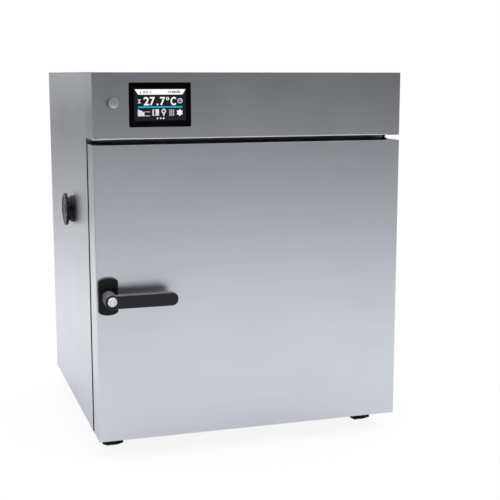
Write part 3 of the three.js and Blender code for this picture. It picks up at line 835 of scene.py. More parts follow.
@dataclass(frozen=True)
class Foam(Finish):
    """Rigid insulation foam with open cells."""

    def dress(self, surface: Surface) -> None:
        """Sets the surface's nodes."""
        cells = surface.effect(moulded_relief(), Size=420.0)
        surface.shade(
            Base_Color=self.mottled(surface, cells.outputs["Height"], 0.75, 1.1),
            Roughness=surface.spread(cells.outputs["Mottle"], self.roughness - 0.05, self.roughness),
            Normal=surface.bump(cells.outputs["Height"], 0.6, mm(0.6)),
        )


@dataclass(frozen=True)
class CircuitBoard(Finish):
    """Solder-masked board with lighter tracks."""

    def dress(self, surface: Surface) -> None:
        """Sets the surface's nodes."""
        tracks = surface.add(
            "TexBrick",
            Vector=surface.place,
            Color1=self.colour,
            Color2=scaled(self.colour, 0.8),
            Mortar=scaled(self.colour, 1.8),
            Scale=160.0,
            Mortar_Size=0.03,
        )
        mottle = surface.effect(moulded_relief(), Size=900.0).outputs["Mottle"]
        surface.shade(
            Base_Color=tracks.outputs["Color"],
            Roughness=surface.spread(mottle, self.roughness - 0.08, self.roughness + 0.08),
            Normal=surface.bump(tracks.outputs["Fac"], 0.2, mm(0.03)),
        )


@dataclass(frozen=True)
class Glow(Finish):
    """A lit part of the screen, with the faint unevenness of its backlight."""

    shade: float = 0.04

    def dress(self, surface: Surface) -> None:
        """Sets the surface's nodes."""
        marks = surface.effect(handling_marks(), Size=45.0)
        surface.shade(
            Emission_Color=self.mottled(surface, marks, 1.0, 1 - self.shade),
            Emission_Strength=1.0,
            Base_Color=(0.01, 0.01, 0.012),
            Roughness=self.roughness,
            Specular_IOR_Level=0.25,
        )


STEEL = (0.565, 0.583, 0.625)
FRONT_STEEL = BrushedSteel("front_steel", STEEL, 0.3)
# The fascia's steel is the door's steel made darker: painted shade.
FASCIA_SHADED_STEEL = BrushedSteel("fascia_steel_painted_shade", scaled(STEEL, 0.93), 0.3)
SIDE_STEEL = BrushedSteel("side_steel", STEEL, 0.32, Grain.ALONG_Y)
UPRIGHT_STEEL = BrushedSteel("upright_steel", STEEL, 0.3, Grain.ALONG_Z)
CHAMBER_STEEL = BrushedSteel("chamber_steel", (0.64, 0.65, 0.67), 0.22, Grain.ALONG_Y, 0.02)
BAFFLE_STEEL = BrushedSteel("baffle_steel", (0.64, 0.65, 0.67), 0.25, Grain.ALONG_X, 0.02)
BRIGHT_WIRE = BrushedSteel("bright_wire", (0.7, 0.71, 0.72), 0.18, Grain.ALONG_Y, 0.02)
BRIGHT_LOCK = BrushedSteel("bright_lock", (0.68, 0.7, 0.73), 0.26, Grain.ALONG_X, 0.03, gap=0.001)
BUTTON_STEEL = BrushedSteel("button_steel", STEEL, 0.36, Grain.ALONG_X, 0.03, gap=0.002)
ZINC = PlatedSteel("zinc_plate", (0.42, 0.43, 0.44), 0.42)
# Dark sheet as painted shade: the fascia's underside, the power button's sides and the top hinge plate.
PAINTED_SHADE_STEEL = PlatedSteel("painted_shade_steel", (0.03, 0.031, 0.033), 0.42, 0.4)
HEATER_SHEATH = PlatedSteel("heater_sheath", (0.2, 0.17, 0.15), 0.5, 0.8)
# The lever and its plate are made much lighter on their tops: a painted highlight.
HANDLE_PLASTIC = Moulding("handle_plastic", (0.0085, 0.009, 0.0105), 0.34, 1900.0, 0.12, gloss=0.27, dust_and_highlight=0.7)
ROSETTE_PLASTIC = Moulding("rosette_plastic", (0.004, 0.0042, 0.005), 0.34, 1900.0, 0.12, gloss=0.2, dust_and_highlight=0.5)
CAP_PLASTIC = Moulding("cap_plastic", (0.004, 0.0042, 0.005), 0.32, 1600.0, 0.15, gloss=0.2)
# The plug's outer faces: lighter and glossier than the cap's plastic, as a painted highlight.
CAP_FACE_HIGHLIGHT = Moulding("cap_face_painted_highlight", (0.02, 0.02, 0.022), 0.28, 1600.0, 0.15, gloss=0.7, gap=0.003)
BEZEL_PLASTIC = Moulding("bezel_plastic", (0.0012, 0.0012, 0.0014), 0.14, 2400.0, 0.02, gloss=0.1)
INLET_PLASTIC = Moulding("inlet_plastic", (0.016, 0.016, 0.017), 0.5, 1500.0, 0.2)
# Painted shade: dark bands on the hems that line the slits beside the door.
PAINTED_SLIT_SHADE = Moulding("painted_slit_shade", (0.01, 0.01, 0.011), 0.6, 1300.0, 0.2, gloss=0.2)
RUBBER = Moulding("foot_rubber", (0.012, 0.012, 0.012), 0.68, 1100.0, 0.3)
SILICONE = Moulding("silicone", (0.62, 0.62, 0.6), 0.5, 900.0, 0.12, 0.15)
FOAM = Foam("insulation_foam", (0.68, 0.56, 0.31), 0.95)
BOARD = CircuitBoard("circuit_board", (0.012, 0.1, 0.035), 0.42)
SCREEN_DARK = Glow("screen_dark", (0.0064, 0.0064, 0.0118), 0.12, 0.25)
SCREEN_WHITE = Glow("screen_white", (1.0, 1.0, 1.0), 0.2)
SCREEN_GREY = Glow("screen_grey", (0.7, 0.7, 0.76), 0.2)
SCREEN_CYAN = Glow("screen_cyan", (0.003, 0.45, 0.6), 0.2)
SCREEN_INK = Glow("screen_ink", (0.03, 0.03, 0.04), 0.2)


def refined(node: str, width: float, segments: int = 2) -> Form:
    """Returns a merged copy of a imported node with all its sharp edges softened."""
    return Form.of_node(node).softened(width, segments)


def screw_head(
    at: Sequence[float], facing: Facing, radius: float = mm(3.4), height: float = mm(1.7)
) -> Form:
    """Makes a domed screw head with a cross recess.

    Args:
        at: the middle of its seat.
        facing: the way it looks.
        radius: its radius.
        height: its height over the seat.

    Returns:
        The new form.
    """
    wall, rise = height * 0.25, height * 0.75
    profile = [(0.0, 0.0), (radius, 0.0), (radius, wall)]
    profile += [
        (radius * math.cos(turn), wall + rise * math.sin(turn))
        for turn in (math.radians(step) for step in range(15, 90, 15))
    ]
    profile += [(0.0, height)]
    arm, half = radius * 0.55, radius * 0.14
    depth = height * 0.55
    slots = [
        Form.block((-arm, -half, height - depth), (arm, half, height + depth)),
        Form.block((-half, -arm, height - depth), (half, arm, height + depth)),
    ]
    return Form.lathe(profile, 24).carved(*slots).placed(at, facing)


def screws(places: Sequence[Triple], facing: Facing, *size: float) -> Form:
    """Makes a screw head at each place, with its radius and height if they are given."""
    return Form().with_forms(*(screw_head(at, facing, *size) for at in places))


# ---- Sub-assemblies ----


@dataclass
class Cabinet:
    """The outer shell: sheets, frame, feet and the screws that hold the back."""

    edge: float = mm(0.45)
    # Depth of the front band on the side sheets that takes painted shade.
    hem: float = mm(4.5)
    foot_base: float = mm(10.6)
    foot_taper: float = mm(6)
    foot_pad: float = mm(21)
    foot_neck: float = mm(25.6)
    screw_inset: float = mm(9)

    def build(self) -> None:
        """Builds the shell's pieces."""
        self.sheets()
        self.back()
        self.feet()

    def sheets(self) -> None:
        """Makes the side, top, bottom and inner sheets, with painted shade on the side sheets' front bands
        below the fascia.
        """
        for node in ("side_panel_left", "side_panel_right"):
            hem = Span.of(node).low.y + self.hem
            under = Span.of("fascia_panel").low.z
            form = refined(node, self.edge).split(1, hem).split(2, under)
            form.piece(
                f"{node}_sheet",
                "cabinet",
                SIDE_STEEL,
                "cabinet_steel",
                [node],
                PAINTED_SLIT_SHADE,
                lambda face, y=hem, z=under: all(
                    at < limit for at, limit in zip(face.calc_center_median().yz, (y, z))
                ),
            )
        for node, finish, slot in (
            ("top_panel", SIDE_STEEL, "cabinet_steel"),
            ("front_frame", UPRIGHT_STEEL, "cabinet_steel"),
            ("bottom_pan", ZINC, "zinc_steel"),
            ("compartment_floor", ZINC, "zinc_steel"),
            ("rear_bulkhead", ZINC, "zinc_steel"),
        ):
            refined(node, self.edge).piece(f"{node}_sheet", "cabinet", finish, slot, [node])

    def back(self) -> None:
        """Makes the rear panel with its vents, and its screws."""
        span = Span.of("rear_panel")
        form = Form.of_node("rear_panel")
        form.softened(self.edge, 2, span.rims)
        form.piece("rear_panel_sheet", "cabinet", ZINC, "zinc_steel", ["rear_panel"])
        left, right = span.low.x + self.screw_inset, span.high.x - self.screw_inset
        low, high = span.low.z + self.screw_inset, span.high.z - self.screw_inset
        places = [(x, low + share * (high - low)) for x in (left, right) for share in (0, 0.25, 0.5, 0.75, 1)]
        places += [(left + (right - left) * share, z) for z in (low, high) for share in (1 / 3, 2 / 3)]
        heads = screws([(x, span.high.y, z) for x, z in places], Facing.BACK)
        heads.piece("rear_screws", "cabinet", ZINC, "zinc_steel")

    def feet(self) -> None:
        """Makes the four rubber feet: square pads that taper to the floor, under a neck."""
        for row in ("front", "rear"):
            for side in ("left", "right"):
                node = f"foot_{row}_{side}"
                span = Span.of(node)
                half = span.size.x / 2
                pad = Form.block((-half, -half, 0), (half, half, self.foot_pad))
                pad.softened(mm(1.6), 4, lambda e: abs(e.verts[0].co.z - e.verts[1].co.z) > MERGE)
                pad.split(2, self.foot_taper)
                for vert in pad.bm.verts:
                    if vert.co.z < MERGE:
                        vert.co.x *= self.foot_base / half
                        vert.co.y *= self.foot_base / half
                pad.softened(mm(0.5), 3)
                rise = span.size.z - mm(20.2)
                neck = Form.slab(self.foot_neck, self.foot_neck, rise, mm(1.2), steps=6)
                pad.fused(neck.placed((0, 0, mm(20))))
                pad.placed((span.centre.x, span.centre.y, 0))
                pad.piece(f"{node}_pad", "cabinet", RUBBER, "foot_rubber", [node])


@dataclass
class Fascia:
    """The control panel over the door: its folded sheet, display frame and power button."""

    lip: float = mm(2.3)
    fold: float = mm(1.0)
    margin: float = mm(1.5)
    bezel_rim: float = mm(0.55)
    window_play: float = mm(0.3)
    button_radius: float = mm(9.5)
    button_gap: float = mm(0.3)
    ring_width: float = mm(1.7)
    ring_rim: float = mm(0.2)
    collar_width: float = mm(5)
    bezel_corner: float = mm(2.7)
    window_corner: float = mm(0.6)

    def build(self) -> None:
        """Builds the panel's pieces."""
        self.sheet()
        self.bezel()
        self.button()

    def sheet(self) -> None:
        """Makes the folded sheet: a wide soft lip below, and a flat face cut free of its edges' shading."""
        span = Span.of("fascia_panel")
        front, low = span.low.y + MERGE, span.low.z + MERGE
        form = Form.of_node("fascia_panel")
        form.softened(self.lip, 6, lambda e: all(v.co.y < front and v.co.z < low for v in e.verts))
        form.softened(self.fold, 3, lambda e: all(v.co.y < front for v in e.verts) and span.rims(e))
        for axis, at in (
            (0, span.low.x + self.fold + self.margin),
            (0, span.high.x - self.fold - self.margin),
            (2, span.low.z + self.lip + self.margin),
            (2, span.high.z - self.fold - self.margin),
        ):
            form.split(axis, at)
        form.softened(mm(0.25), 2, lambda e: e.calc_length() > mm(0.8))
        # The faces that look down take painted shade.
        form.piece(
            "fascia_sheet",
            "cabinet",
            FASCIA_SHADED_STEEL,
            "cabinet_steel",
            ["fascia_panel"],
            PAINTED_SHADE_STEEL,
            lambda face: face.normal.z < -0.98,
        )

    def bezel(self) -> None:
        """Makes the display's frame with its window."""
        span, glass = Span.of("display_bezel"), Span.of("display_module")
        inset, play = SCREEN_BORDER, self.window_play
        window_low = Vector((glass.low.x + inset - play, glass.low.z + inset - play))
        window_high = Vector((glass.high.x - inset + play, glass.high.z - inset + play))
        size, window = span.size, window_high - window_low
        middle = (window_low + window_high) / 2
        plate = Form.slab(size.x, size.z, size.y, self.bezel_corner, self.bezel_rim, 10)
        plate.placed((span.centre.x, span.high.y, span.centre.z), Facing.FRONT)
        hole = Form.slab(window.x, window.y, size.y * 3, self.window_corner, steps=4)
        hole.placed((middle.x, span.high.y + size.y, middle.y), Facing.FRONT)
        plate.carved(hole)
        plate.piece("display_frame", "cabinet", BEZEL_PLASTIC, "black_plastic", ["display_bezel"])

    def button(self) -> None:
        """Makes the power button and the ring that it moves in."""
        housing, cap = Span.of("button_housing"), Span.of("power_button")
        at = (housing.centre.x, 0, housing.centre.z)
        r, rim = self.button_radius, self.ring_rim
        bore, outer, collar = r + self.button_gap, r + self.ring_width, r + self.collar_width
        face, rear = housing.low.y, housing.high.y
        shelf, floor = face + mm(3), rear - mm(19)
        ring = [
            (bore, -(face + rim)),
            (bore + rim, -face),
            (outer - rim, -face),
            (outer, -(face + rim)),
            (outer, -shelf),
            (collar, -shelf),
            (collar, -(shelf + mm(5))),
            (outer, -(shelf + mm(5))),
            (outer, -rear),
            (0, -rear),
            (0, -floor),
            (bore, -floor),
        ]
        form = Form.lathe(ring, 72).placed(at, Facing.FRONT)
        # The sides of the ring and the cap take painted shade.
        side = {"second": PAINTED_SHADE_STEEL, "where": lambda face: abs(face.normal.y) < 0.3}
        form.piece("button_ring", "cabinet", BUTTON_STEEL, "chrome", ["button_housing"], **side)
        front = -cap.low.y
        dish = [
            (0, front - mm(0.1)),
            (r * 0.66, front - mm(0.1)),
            (r * 0.69, front - mm(0.3)),
            (r * 0.72, front - mm(0.3)),
            (r * 0.75, front),
            (r * 0.985, front),
            (r, front - mm(0.2)),
            (r, -cap.high.y),
            (0, -cap.high.y),
        ]
        form = Form.lathe(dish, 72).placed(at, Facing.FRONT)
        form.piece("power_button_cap", "button", BUTTON_STEEL, "chrome", ["power_button"], **side)


@dataclass
class Screen:
    """What the display shows: a status bar, a reading, a progress line and status symbols."""

    border: float = SCREEN_BORDER
    depth: float = mm(0.14)

    def build(self) -> None:
        """Builds the lit shapes just in front of the dark glass."""
        glass = Span.of("display_module")
        self.left, self.top = glass.low.x + self.border, glass.high.z - self.border
        self.width = glass.size.x - 2 * self.border
        self.height = glass.size.z - 2 * self.border
        self.face = glass.low.y - mm(0.02)
        self.finish(self.reading(), "screen_reading", SCREEN_WHITE)
        self.finish(self.symbols(), "screen_symbols", SCREEN_GREY)
        self.finish(self.rect(0.078, 0.934, 0.546, 0.592), "screen_progress", SCREEN_CYAN)
        self.finish(self.status_marks(), "screen_marks", SCREEN_INK, mm(0.1))

    def finish(self, form: Form, name: str, finish: Finish, forward: float = 0.0) -> None:
        """Stands a flat form up on the screen and makes it a piece."""
        form.placed((self.left, self.face - forward, self.top), Facing.FRONT)
        form.piece(name, "cabinet", finish, "screen")

    def spot(self, u: float, v: float) -> Pair:
        """Returns a place on the screen from its shares across and down."""
        return u * self.width, -v * self.height

    def rect(self, u0: float, u1: float, v0: float, v1: float) -> Form:
        """Makes a filled rectangle."""
        (x0, y1), (x1, y0) = self.spot(u0, v0), self.spot(u1, v1)
        return Form.block((x0, y0, 0), (x1, y1, self.depth))

    def shape(self, *corners: Pair) -> Form:
        """Makes a filled outline from its corners."""
        return Form.outline([self.spot(*corner) for corner in corners], self.depth)

    def disc(self, u: float, v: float, radius: float, hole: float = 0.0) -> Form:
        """Makes a disc or a ring, with radii as shares of the screen's height."""
        r, inner = radius * self.height, hole * self.height
        profile = [(inner, 0), (r, 0), (r, self.depth), (inner, self.depth)]
        return Form.lathe(profile, 40, closed=hole > 0).placed((*self.spot(u, v), 0))

    def text(self, letters: str, u0: float, u1: float, v0: float, v1: float, weight: float) -> Form:
        """Makes figures that fill a rectangle."""
        (x0, y1), (x1, y0) = self.spot(u0, v0), self.spot(u1, v1)
        return Form.lettering(letters, (x0, y0), (x1, y1), self.depth, weight)

    def reading(self) -> Form:
        """Makes the status bar, the temperature and the page dots."""
        bar = self.shape((0.012, 0.004), (1.0, 0.004), (0.938, 0.174), (0.08, 0.174))
        dots = [self.disc(u, 0.928, 0.025) for u in (0.446, 0.507, 0.565)]
        figures = [
            self.text("2", 0.182, 0.288, 0.25, 0.515, 0.022),
            self.text("7", 0.3, 0.402, 0.25, 0.515, 0.022),
            self.disc(0.449, 0.486, 0.028),
            self.text("7", 0.498, 0.6, 0.25, 0.515, 0.022),
            self.disc(0.648, 0.304, 0.052, 0.026),
            self.text("C", 0.706, 0.81, 0.25, 0.515, 0.026),
        ]
        return bar.with_forms(*dots, *figures, self.star(0.881, 0.75, 0.118, 0.074, 6))

    def star(self, u: float, v: float, outer: float, inner: float, points: int) -> Form:
        """Makes a star.

        Args:
            u: its middle's share across the screen.
            v: its middle's share down the screen.
            outer: the points' reach, as a share of the screen's height.
            inner: the notches' reach, as a share of the screen's height.
            points: how many points it has.

        Returns:
            The new form.
        """
        corners = []
        for step in range(2 * points):
            reach = (outer if step % 2 == 0 else inner) * self.height
            turn = math.pi / 2 - step * math.pi / points
            across, down = reach * math.cos(turn) / self.width, reach * math.sin(turn) / self.height
            corners.append((u + across, v - down))
        return self.shape(*corners)

    def symbols(self) -> Form:
        """Makes the row of status symbols and the two beside the reading."""
        hourglass = [
            self.rect(0.068, 0.129, 0.324, 0.344),
            self.rect(0.068, 0.129, 0.426, 0.446),
            self.shape(
                (0.078, 0.344), (0.119, 0.344), (0.104, 0.385), (0.119, 0.426), (0.078, 0.426), (0.093, 0.385)
            ),
        ]
        clock = [
            self.disc(0.89, 0.374, 0.084, 0.058),
            self.rect(0.884, 0.896, 0.33, 0.384),
            self.rect(0.884, 0.916, 0.366, 0.386),
        ]
        ramp = [
            self.shape((0.068, 0.64), (0.13, 0.68), (0.195, 0.735), (0.195, 0.856), (0.068, 0.856)),
            self.rect(0.195, 0.305, 0.712, 0.728),
            self.rect(0.195, 0.305, 0.838, 0.856),
        ]
        cabinet = [
            self.shape((0.349, 0.655), (0.376, 0.64), (0.376, 0.856), (0.349, 0.84)),
            self.rect(0.39, 0.477, 0.64, 0.664),
            self.rect(0.39, 0.477, 0.818, 0.842),
            self.rect(0.41, 0.477, 0.664, 0.818),
        ]
        bulb = [
            self.disc(0.569, 0.7, 0.074, 0.036),
            self.shape(
                (0.543, 0.74), (0.595, 0.74), (0.583, 0.81), (0.578, 0.856), (0.56, 0.856), (0.555, 0.81)
            ),
        ]
        waves, wide, high = [], 0.014, 0.052
        for start in (0.674, 0.711, 0.748):
            for step in range(4):
                lean, back = (wide, 0.0) if step % 2 else (0.0, wide)
                u0, u1 = start + lean, start + back
                v0, v1 = 0.645 + step * high, 0.645 + (step + 1) * high
                waves.append(self.shape((u0, v0), (u0 + wide, v0), (u1 + wide, v1), (u1, v1)))
        return Form().with_forms(*hourglass, *clock, *ramp, *cabinet, *bulb, *waves)

    def status_marks(self) -> Form:
        """Makes the small dark figures in the status bar."""
        marks = [
            self.rect(0.118, 0.132, 0.07, 0.15),
            self.text("25.0", 0.172, 0.272, 0.052, 0.13, 0.03),
            self.text("C", 0.3, 0.338, 0.052, 0.13, 0.034),
            self.text("12:00:00", 0.66, 0.895, 0.052, 0.13, 0.03),
        ]
        return Form().with_forms(*marks)


@dataclass
class Door:
    """The insulated door: folded outer skin, inner panel, seal and the parts set into it."""

    fold: float = mm(0.9)
    edge: float = mm(0.35)
    # Depth of the rear band that takes painted shade.
    hem: float = mm(4.5)
    pad_rim: float = mm(1.2)
    seal_round: float = mm(2.2)

    def build(self) -> None:
        """Builds the door's pieces."""
        self.skin()
        form = Form.of_node("door_inner_panel")
        rear = Span.of("door_inner_panel").high.y
        form.softened(self.pad_rim, 4, lambda e: all(v.co.y > rear - MERGE for v in e.verts))
        form.softened(self.edge, 2, lambda e: e.calc_length() > mm(1))
        form.piece("door_inner_sheet", "door", CHAMBER_STEEL, "chamber_steel", ["door_inner_panel"])
        seal = refined("door_gasket", self.seal_round, 5)
        seal.piece("door_seal", "door", SILICONE, "silicone", ["door_gasket"])
        for node, finish, slot in (
            ("latch_case", ZINC, "zinc_steel"),
            ("hinge_bush_bottom", CAP_PLASTIC, "black_plastic"),
            ("hinge_bush_top", CAP_PLASTIC, "black_plastic"),
        ):
            refined(node, self.edge).piece(f"{node}_body", "door", finish, slot, [node])

    def skin(self) -> None:
        """Makes the outer skin, with rounder folds round its face and painted shade on its rear band."""
        span = Span.of("door_skin")
        form, front = Form.of_node("door_skin"), span.low.y + MERGE
        form.softened(self.fold, 5, lambda e: all(v.co.y <= front for v in e.verts) and span.rims(e))
        form.softened(self.edge, 2, lambda e: e.calc_length() > mm(1))
        hem = span.high.y - self.hem
        form.split(1, hem)
        form.piece(
            "door_outer_sheet",
            "door",
            FRONT_STEEL,
            "cabinet_steel",
            ["door_skin"],
            PAINTED_SLIT_SHADE,
            lambda face: face.calc_center_median().y > hem,
        )


@dataclass
class Handle:
    """The lever handle: back plate, lever with its hub, lock, spindle and latch."""

    plate_thickness: float = mm(5)
    plate_bulge: float = mm(7.6)
    plate_rim: float = mm(1.3)
    arm_thickness: float = mm(12)
    arm_corner: float = mm(11)
    arm_rim: float = mm(1.3)
    hub_radius: float = mm(13)
    hub_proud: float = mm(2)
    bore_gap: float = mm(0.3)
    spindle_radius: float = mm(4)
    plate_bore: float = mm(5)
    striker_inset: float = mm(4.4)
    small_screw: Pair = (mm(2.6), mm(1.0))

    def build(self) -> None:
        """Builds the handle's pieces."""
        lock = Span.of("lock_cylinder")
        self.x, self.z = lock.centre.x, lock.centre.z
        self.back_plate()
        self.lever()
        self.lock(lock)
        refined("latch_spindle", mm(0.4)).piece("latch_bar", "lever", ZINC, "zinc_steel", ["latch_spindle"])
        refined("latch_pawl", mm(0.7), 3).piece("latch_tongue", "lever", ZINC, "zinc_steel", ["latch_pawl"])
        refined("striker_plate", mm(0.3)).piece(
            "striker_sheet", "cabinet", ZINC, "zinc_steel", ["striker_plate"]
        )
        striker = Span.of("striker_plate")
        heights = (striker.low.z + self.striker_inset, striker.high.z - self.striker_inset)
        places = [(striker.centre.x, striker.low.y, z) for z in heights]
        heads = screws(places, Facing.FRONT, *self.small_screw)
        heads.piece("striker_screws", "cabinet", ZINC, "zinc_steel")

    def back_plate(self) -> None:
        """Makes the plate under the lever, with arched ends."""
        span = Span.of("handle_rosette")
        half, rise = span.size.x / 2, self.plate_bulge
        straight = span.size.z / 2 - rise
        form = Form()
        bmesh.ops.create_circle(form.bm, cap_ends=True, segments=120, radius=1.0)
        for vert in form.bm.verts:
            end = straight if vert.co.y > -MERGE else -straight
            vert.co = (vert.co.x * half, vert.co.y * rise + end, 0.0)
        form.raised(span.size.y, self.plate_rim)
        form.placed((span.centre.x, span.high.y, span.centre.z), Facing.FRONT)
        front, back = span.low.y - mm(2), span.high.y + mm(2)
        form.carved(Form.rod((self.x, front, self.z), (self.x, back, self.z), self.plate_bore, 40))
        form.piece("handle_plate", "door", ROSETTE_PLASTIC, "black_plastic", ["handle_rosette"])

    def lever(self) -> None:
        """Makes the lever: a flat arm joined to a round hub, bored for the lock and the spindle."""
        span = Span.of("lever_handle")
        height = span.size.z - self.hub_proud
        arm = Form.slab(span.size.x, height, self.arm_thickness, self.arm_corner, self.arm_rim, 12)
        arm.softened(mm(0.9), 3, lambda e: all(v.co.z < MERGE for v in e.verts))
        middle = (span.centre.x, span.low.y + self.arm_thickness, span.low.z + height / 2)
        arm.placed(middle, Facing.FRONT)
        length, r = span.size.y, self.hub_radius
        profile = [
            (0, 0),
            (r - mm(1), 0),
            (r, mm(1)),
            (r, length - mm(1.4)),
            (r - mm(0.4), length - mm(0.45)),
            (r - mm(1.3), length),
            (0, length),
        ]
        hub = Form.lathe(profile, 72).placed((self.x, span.high.y, self.z), Facing.FRONT)
        lock = Span.of("lock_cylinder")
        lock_bore = Form.rod(
            (self.x, span.low.y - mm(3), self.z),
            (self.x, lock.high.y + self.bore_gap, self.z),
            lock.size.x / 2 + self.bore_gap,
            72,
        )
        spindle = Span.of("latch_spindle")
        spindle_bore = Form.rod(
            (self.x, spindle.low.y - self.bore_gap, self.z),
            (self.x, span.high.y + mm(3), self.z),
            self.spindle_radius + self.bore_gap,
            40,
        )
        arm.fused(hub).carved(lock_bore, spindle_bore)
        arm.piece("lever_body", "lever", HANDLE_PLASTIC, "black_plastic", ["lever_handle"])

    def lock(self, span: Span) -> None:
        """Makes the lock's barrel with a stepped face and a keyway."""
        r, front = span.size.x / 2, -span.low.y
        profile = [
            (0, front - mm(0.25)),
            (r * 0.6, front - mm(0.25)),
            (r * 0.64, front - mm(0.6)),
            (r * 0.7, front - mm(0.6)),
            (r * 0.74, front),
            (r * 0.93, front),
            (r, front - mm(0.6)),
            (r, -span.high.y),
            (0, -span.high.y),
        ]
        barrel = Form.lathe(profile, 72).placed((self.x, 0, self.z), Facing.FRONT)
        slot = Form.block(
            (self.x - mm(3.4), span.low.y - mm(2), self.z - mm(0.45)),
            (self.x + mm(3.4), span.low.y + mm(0.9), self.z + mm(0.45)),
        )
        ward = Form.block(
            (self.x - mm(1.9), span.low.y - mm(2), self.z + mm(0.2)),
            (self.x + mm(0.4), span.low.y + mm(0.9), self.z + mm(1.3)),
        )
        barrel.carved(slot, ward)
        barrel.piece("lock_barrel", "lock", BRIGHT_LOCK, "chrome", ["lock_cylinder"])


@dataclass
class Hinges:
    """The hinge plates above and below the door."""

    edge: float = mm(0.5)

    def build(self) -> None:
        """Builds both plates with their pins."""
        # The top plate takes painted shade; the bottom one is zinc.
        for place, finish in (("top", PAINTED_SHADE_STEEL), ("bottom", ZINC)):
            node = f"hinge_bracket_{place}"
            refined(node, self.edge).piece(f"hinge_plate_{place}", "cabinet", finish, "zinc_steel", [node])


@dataclass
class Port:
    """The access port in the left side: a sleeve through the wall and its plug."""

    bore: float = mm(15.5)
    tube: float = mm(19)
    flange: float = mm(26.4)
    cap: float = mm(31.8)
    cap_thickness: float = mm(6.4)
    neck: float = mm(6.2)
    neck_radius: float = mm(23.5)
    lobes: int = 16
    lobe_depth: float = mm(0.9)
    dish_depth: float = mm(1.7)
    knob_radius: float = mm(10.5)
    slots: int = 8
    slot_reach: float = mm(18)
    rim_rounding: float = mm(1.4)

    def build(self) -> None:
        """Builds the sleeve and the plug."""
        sleeve, plug = Span.of("port_sleeve"), Span.of("port_plug")
        self.y, self.z = sleeve.centre.y, sleeve.centre.z
        wall = Span.of("side_panel_left").low.x
        face = -sleeve.low.x
        inside = -sleeve.high.x
        profile = [
            (self.bore, face - mm(0.6)),
            (self.bore + mm(0.6), face),
            (self.flange - self.rim_rounding, face),
            (self.flange - mm(0.4), face - mm(0.4)),
            (self.flange, face - self.rim_rounding),
            (self.flange, -wall + mm(0.3)),
            (self.tube, -wall + mm(0.3)),
            (self.tube, inside),
            (self.bore, inside),
        ]
        body = Form.lathe(profile, 80, closed=True).placed((0, self.y, self.z), Facing.LEFT)
        body.piece("port_sleeve_body", "cabinet", CAP_PLASTIC, "black_plastic", ["port_sleeve"])
        self.plug(plug)

    def plug(self, span: Span) -> None:
        """Makes the plug: a lobed grip with a dished face, a neck and a stem."""
        face = -span.low.x
        cap_back, end = face - self.cap_thickness, -span.high.x
        neck_back = cap_back - self.neck
        grip = Form()
        bmesh.ops.create_circle(grip.bm, cap_ends=True, segments=self.lobes * 12, radius=self.cap)
        for vert in grip.bm.verts:
            turn = math.atan2(vert.co.y, vert.co.x)
            dip = self.lobe_depth * max(0.0, math.cos(self.lobes * turn)) ** 2
            vert.co *= 1 - dip / self.cap
        grip.raised(self.cap_thickness, mm(1.2))
        grip.softened(mm(0.9), 3, lambda e: all(v.co.z < MERGE for v in e.verts))
        dish = [(0, 0), (mm(25.6), 0), (mm(27), mm(3)), (0, mm(3))]
        floor = self.cap_thickness - self.dish_depth
        grip.carved(Form.lathe(dish, 80).placed((0, 0, floor)))
        r = self.knob_radius
        knob = [(0, -mm(1)), (r, -mm(1)), (r, mm(0.7)), (mm(9.4), mm(1.5)), (0, mm(1.5))]
        grip.fused(Form.lathe(knob, 64).placed((0, 0, floor)))
        slots = []
        for step in range(self.slots):
            slot = Form.slab(mm(3.2), mm(9), mm(5), mm(1.5), steps=6)
            slot.placed((self.slot_reach, 0, floor - mm(2.2))).turned(90, "Z", (self.slot_reach, 0, 0))
            slots.append(slot.turned((step + 0.5) * 360 / self.slots, "Z"))
        grip.carved(*slots)
        grip.placed((0, 0, cap_back))
        neck = [
            (0, end),
            (self.bore - mm(1.3), end),
            (self.bore - mm(0.3), end + mm(1.2)),
            (self.bore - mm(0.3), neck_back),
            (self.neck_radius, neck_back),
            (self.neck_radius, cap_back + mm(1)),
            (0, cap_back + mm(1)),
        ]
        grip.fused(Form.lathe(neck, 80))
        grip.placed((0, self.y, self.z), Facing.LEFT)
        # The faces that look out take the painted highlight.
        grip.piece(
            "port_plug_body",
            "plug",
            CAP_PLASTIC,
            "black_plastic",
            ["port_plug"],
            CAP_FACE_HIGHLIGHT,
            lambda piece: piece.normal.x < -0.35 and piece.calc_center_median().x < span.low.x + mm(4),
        )


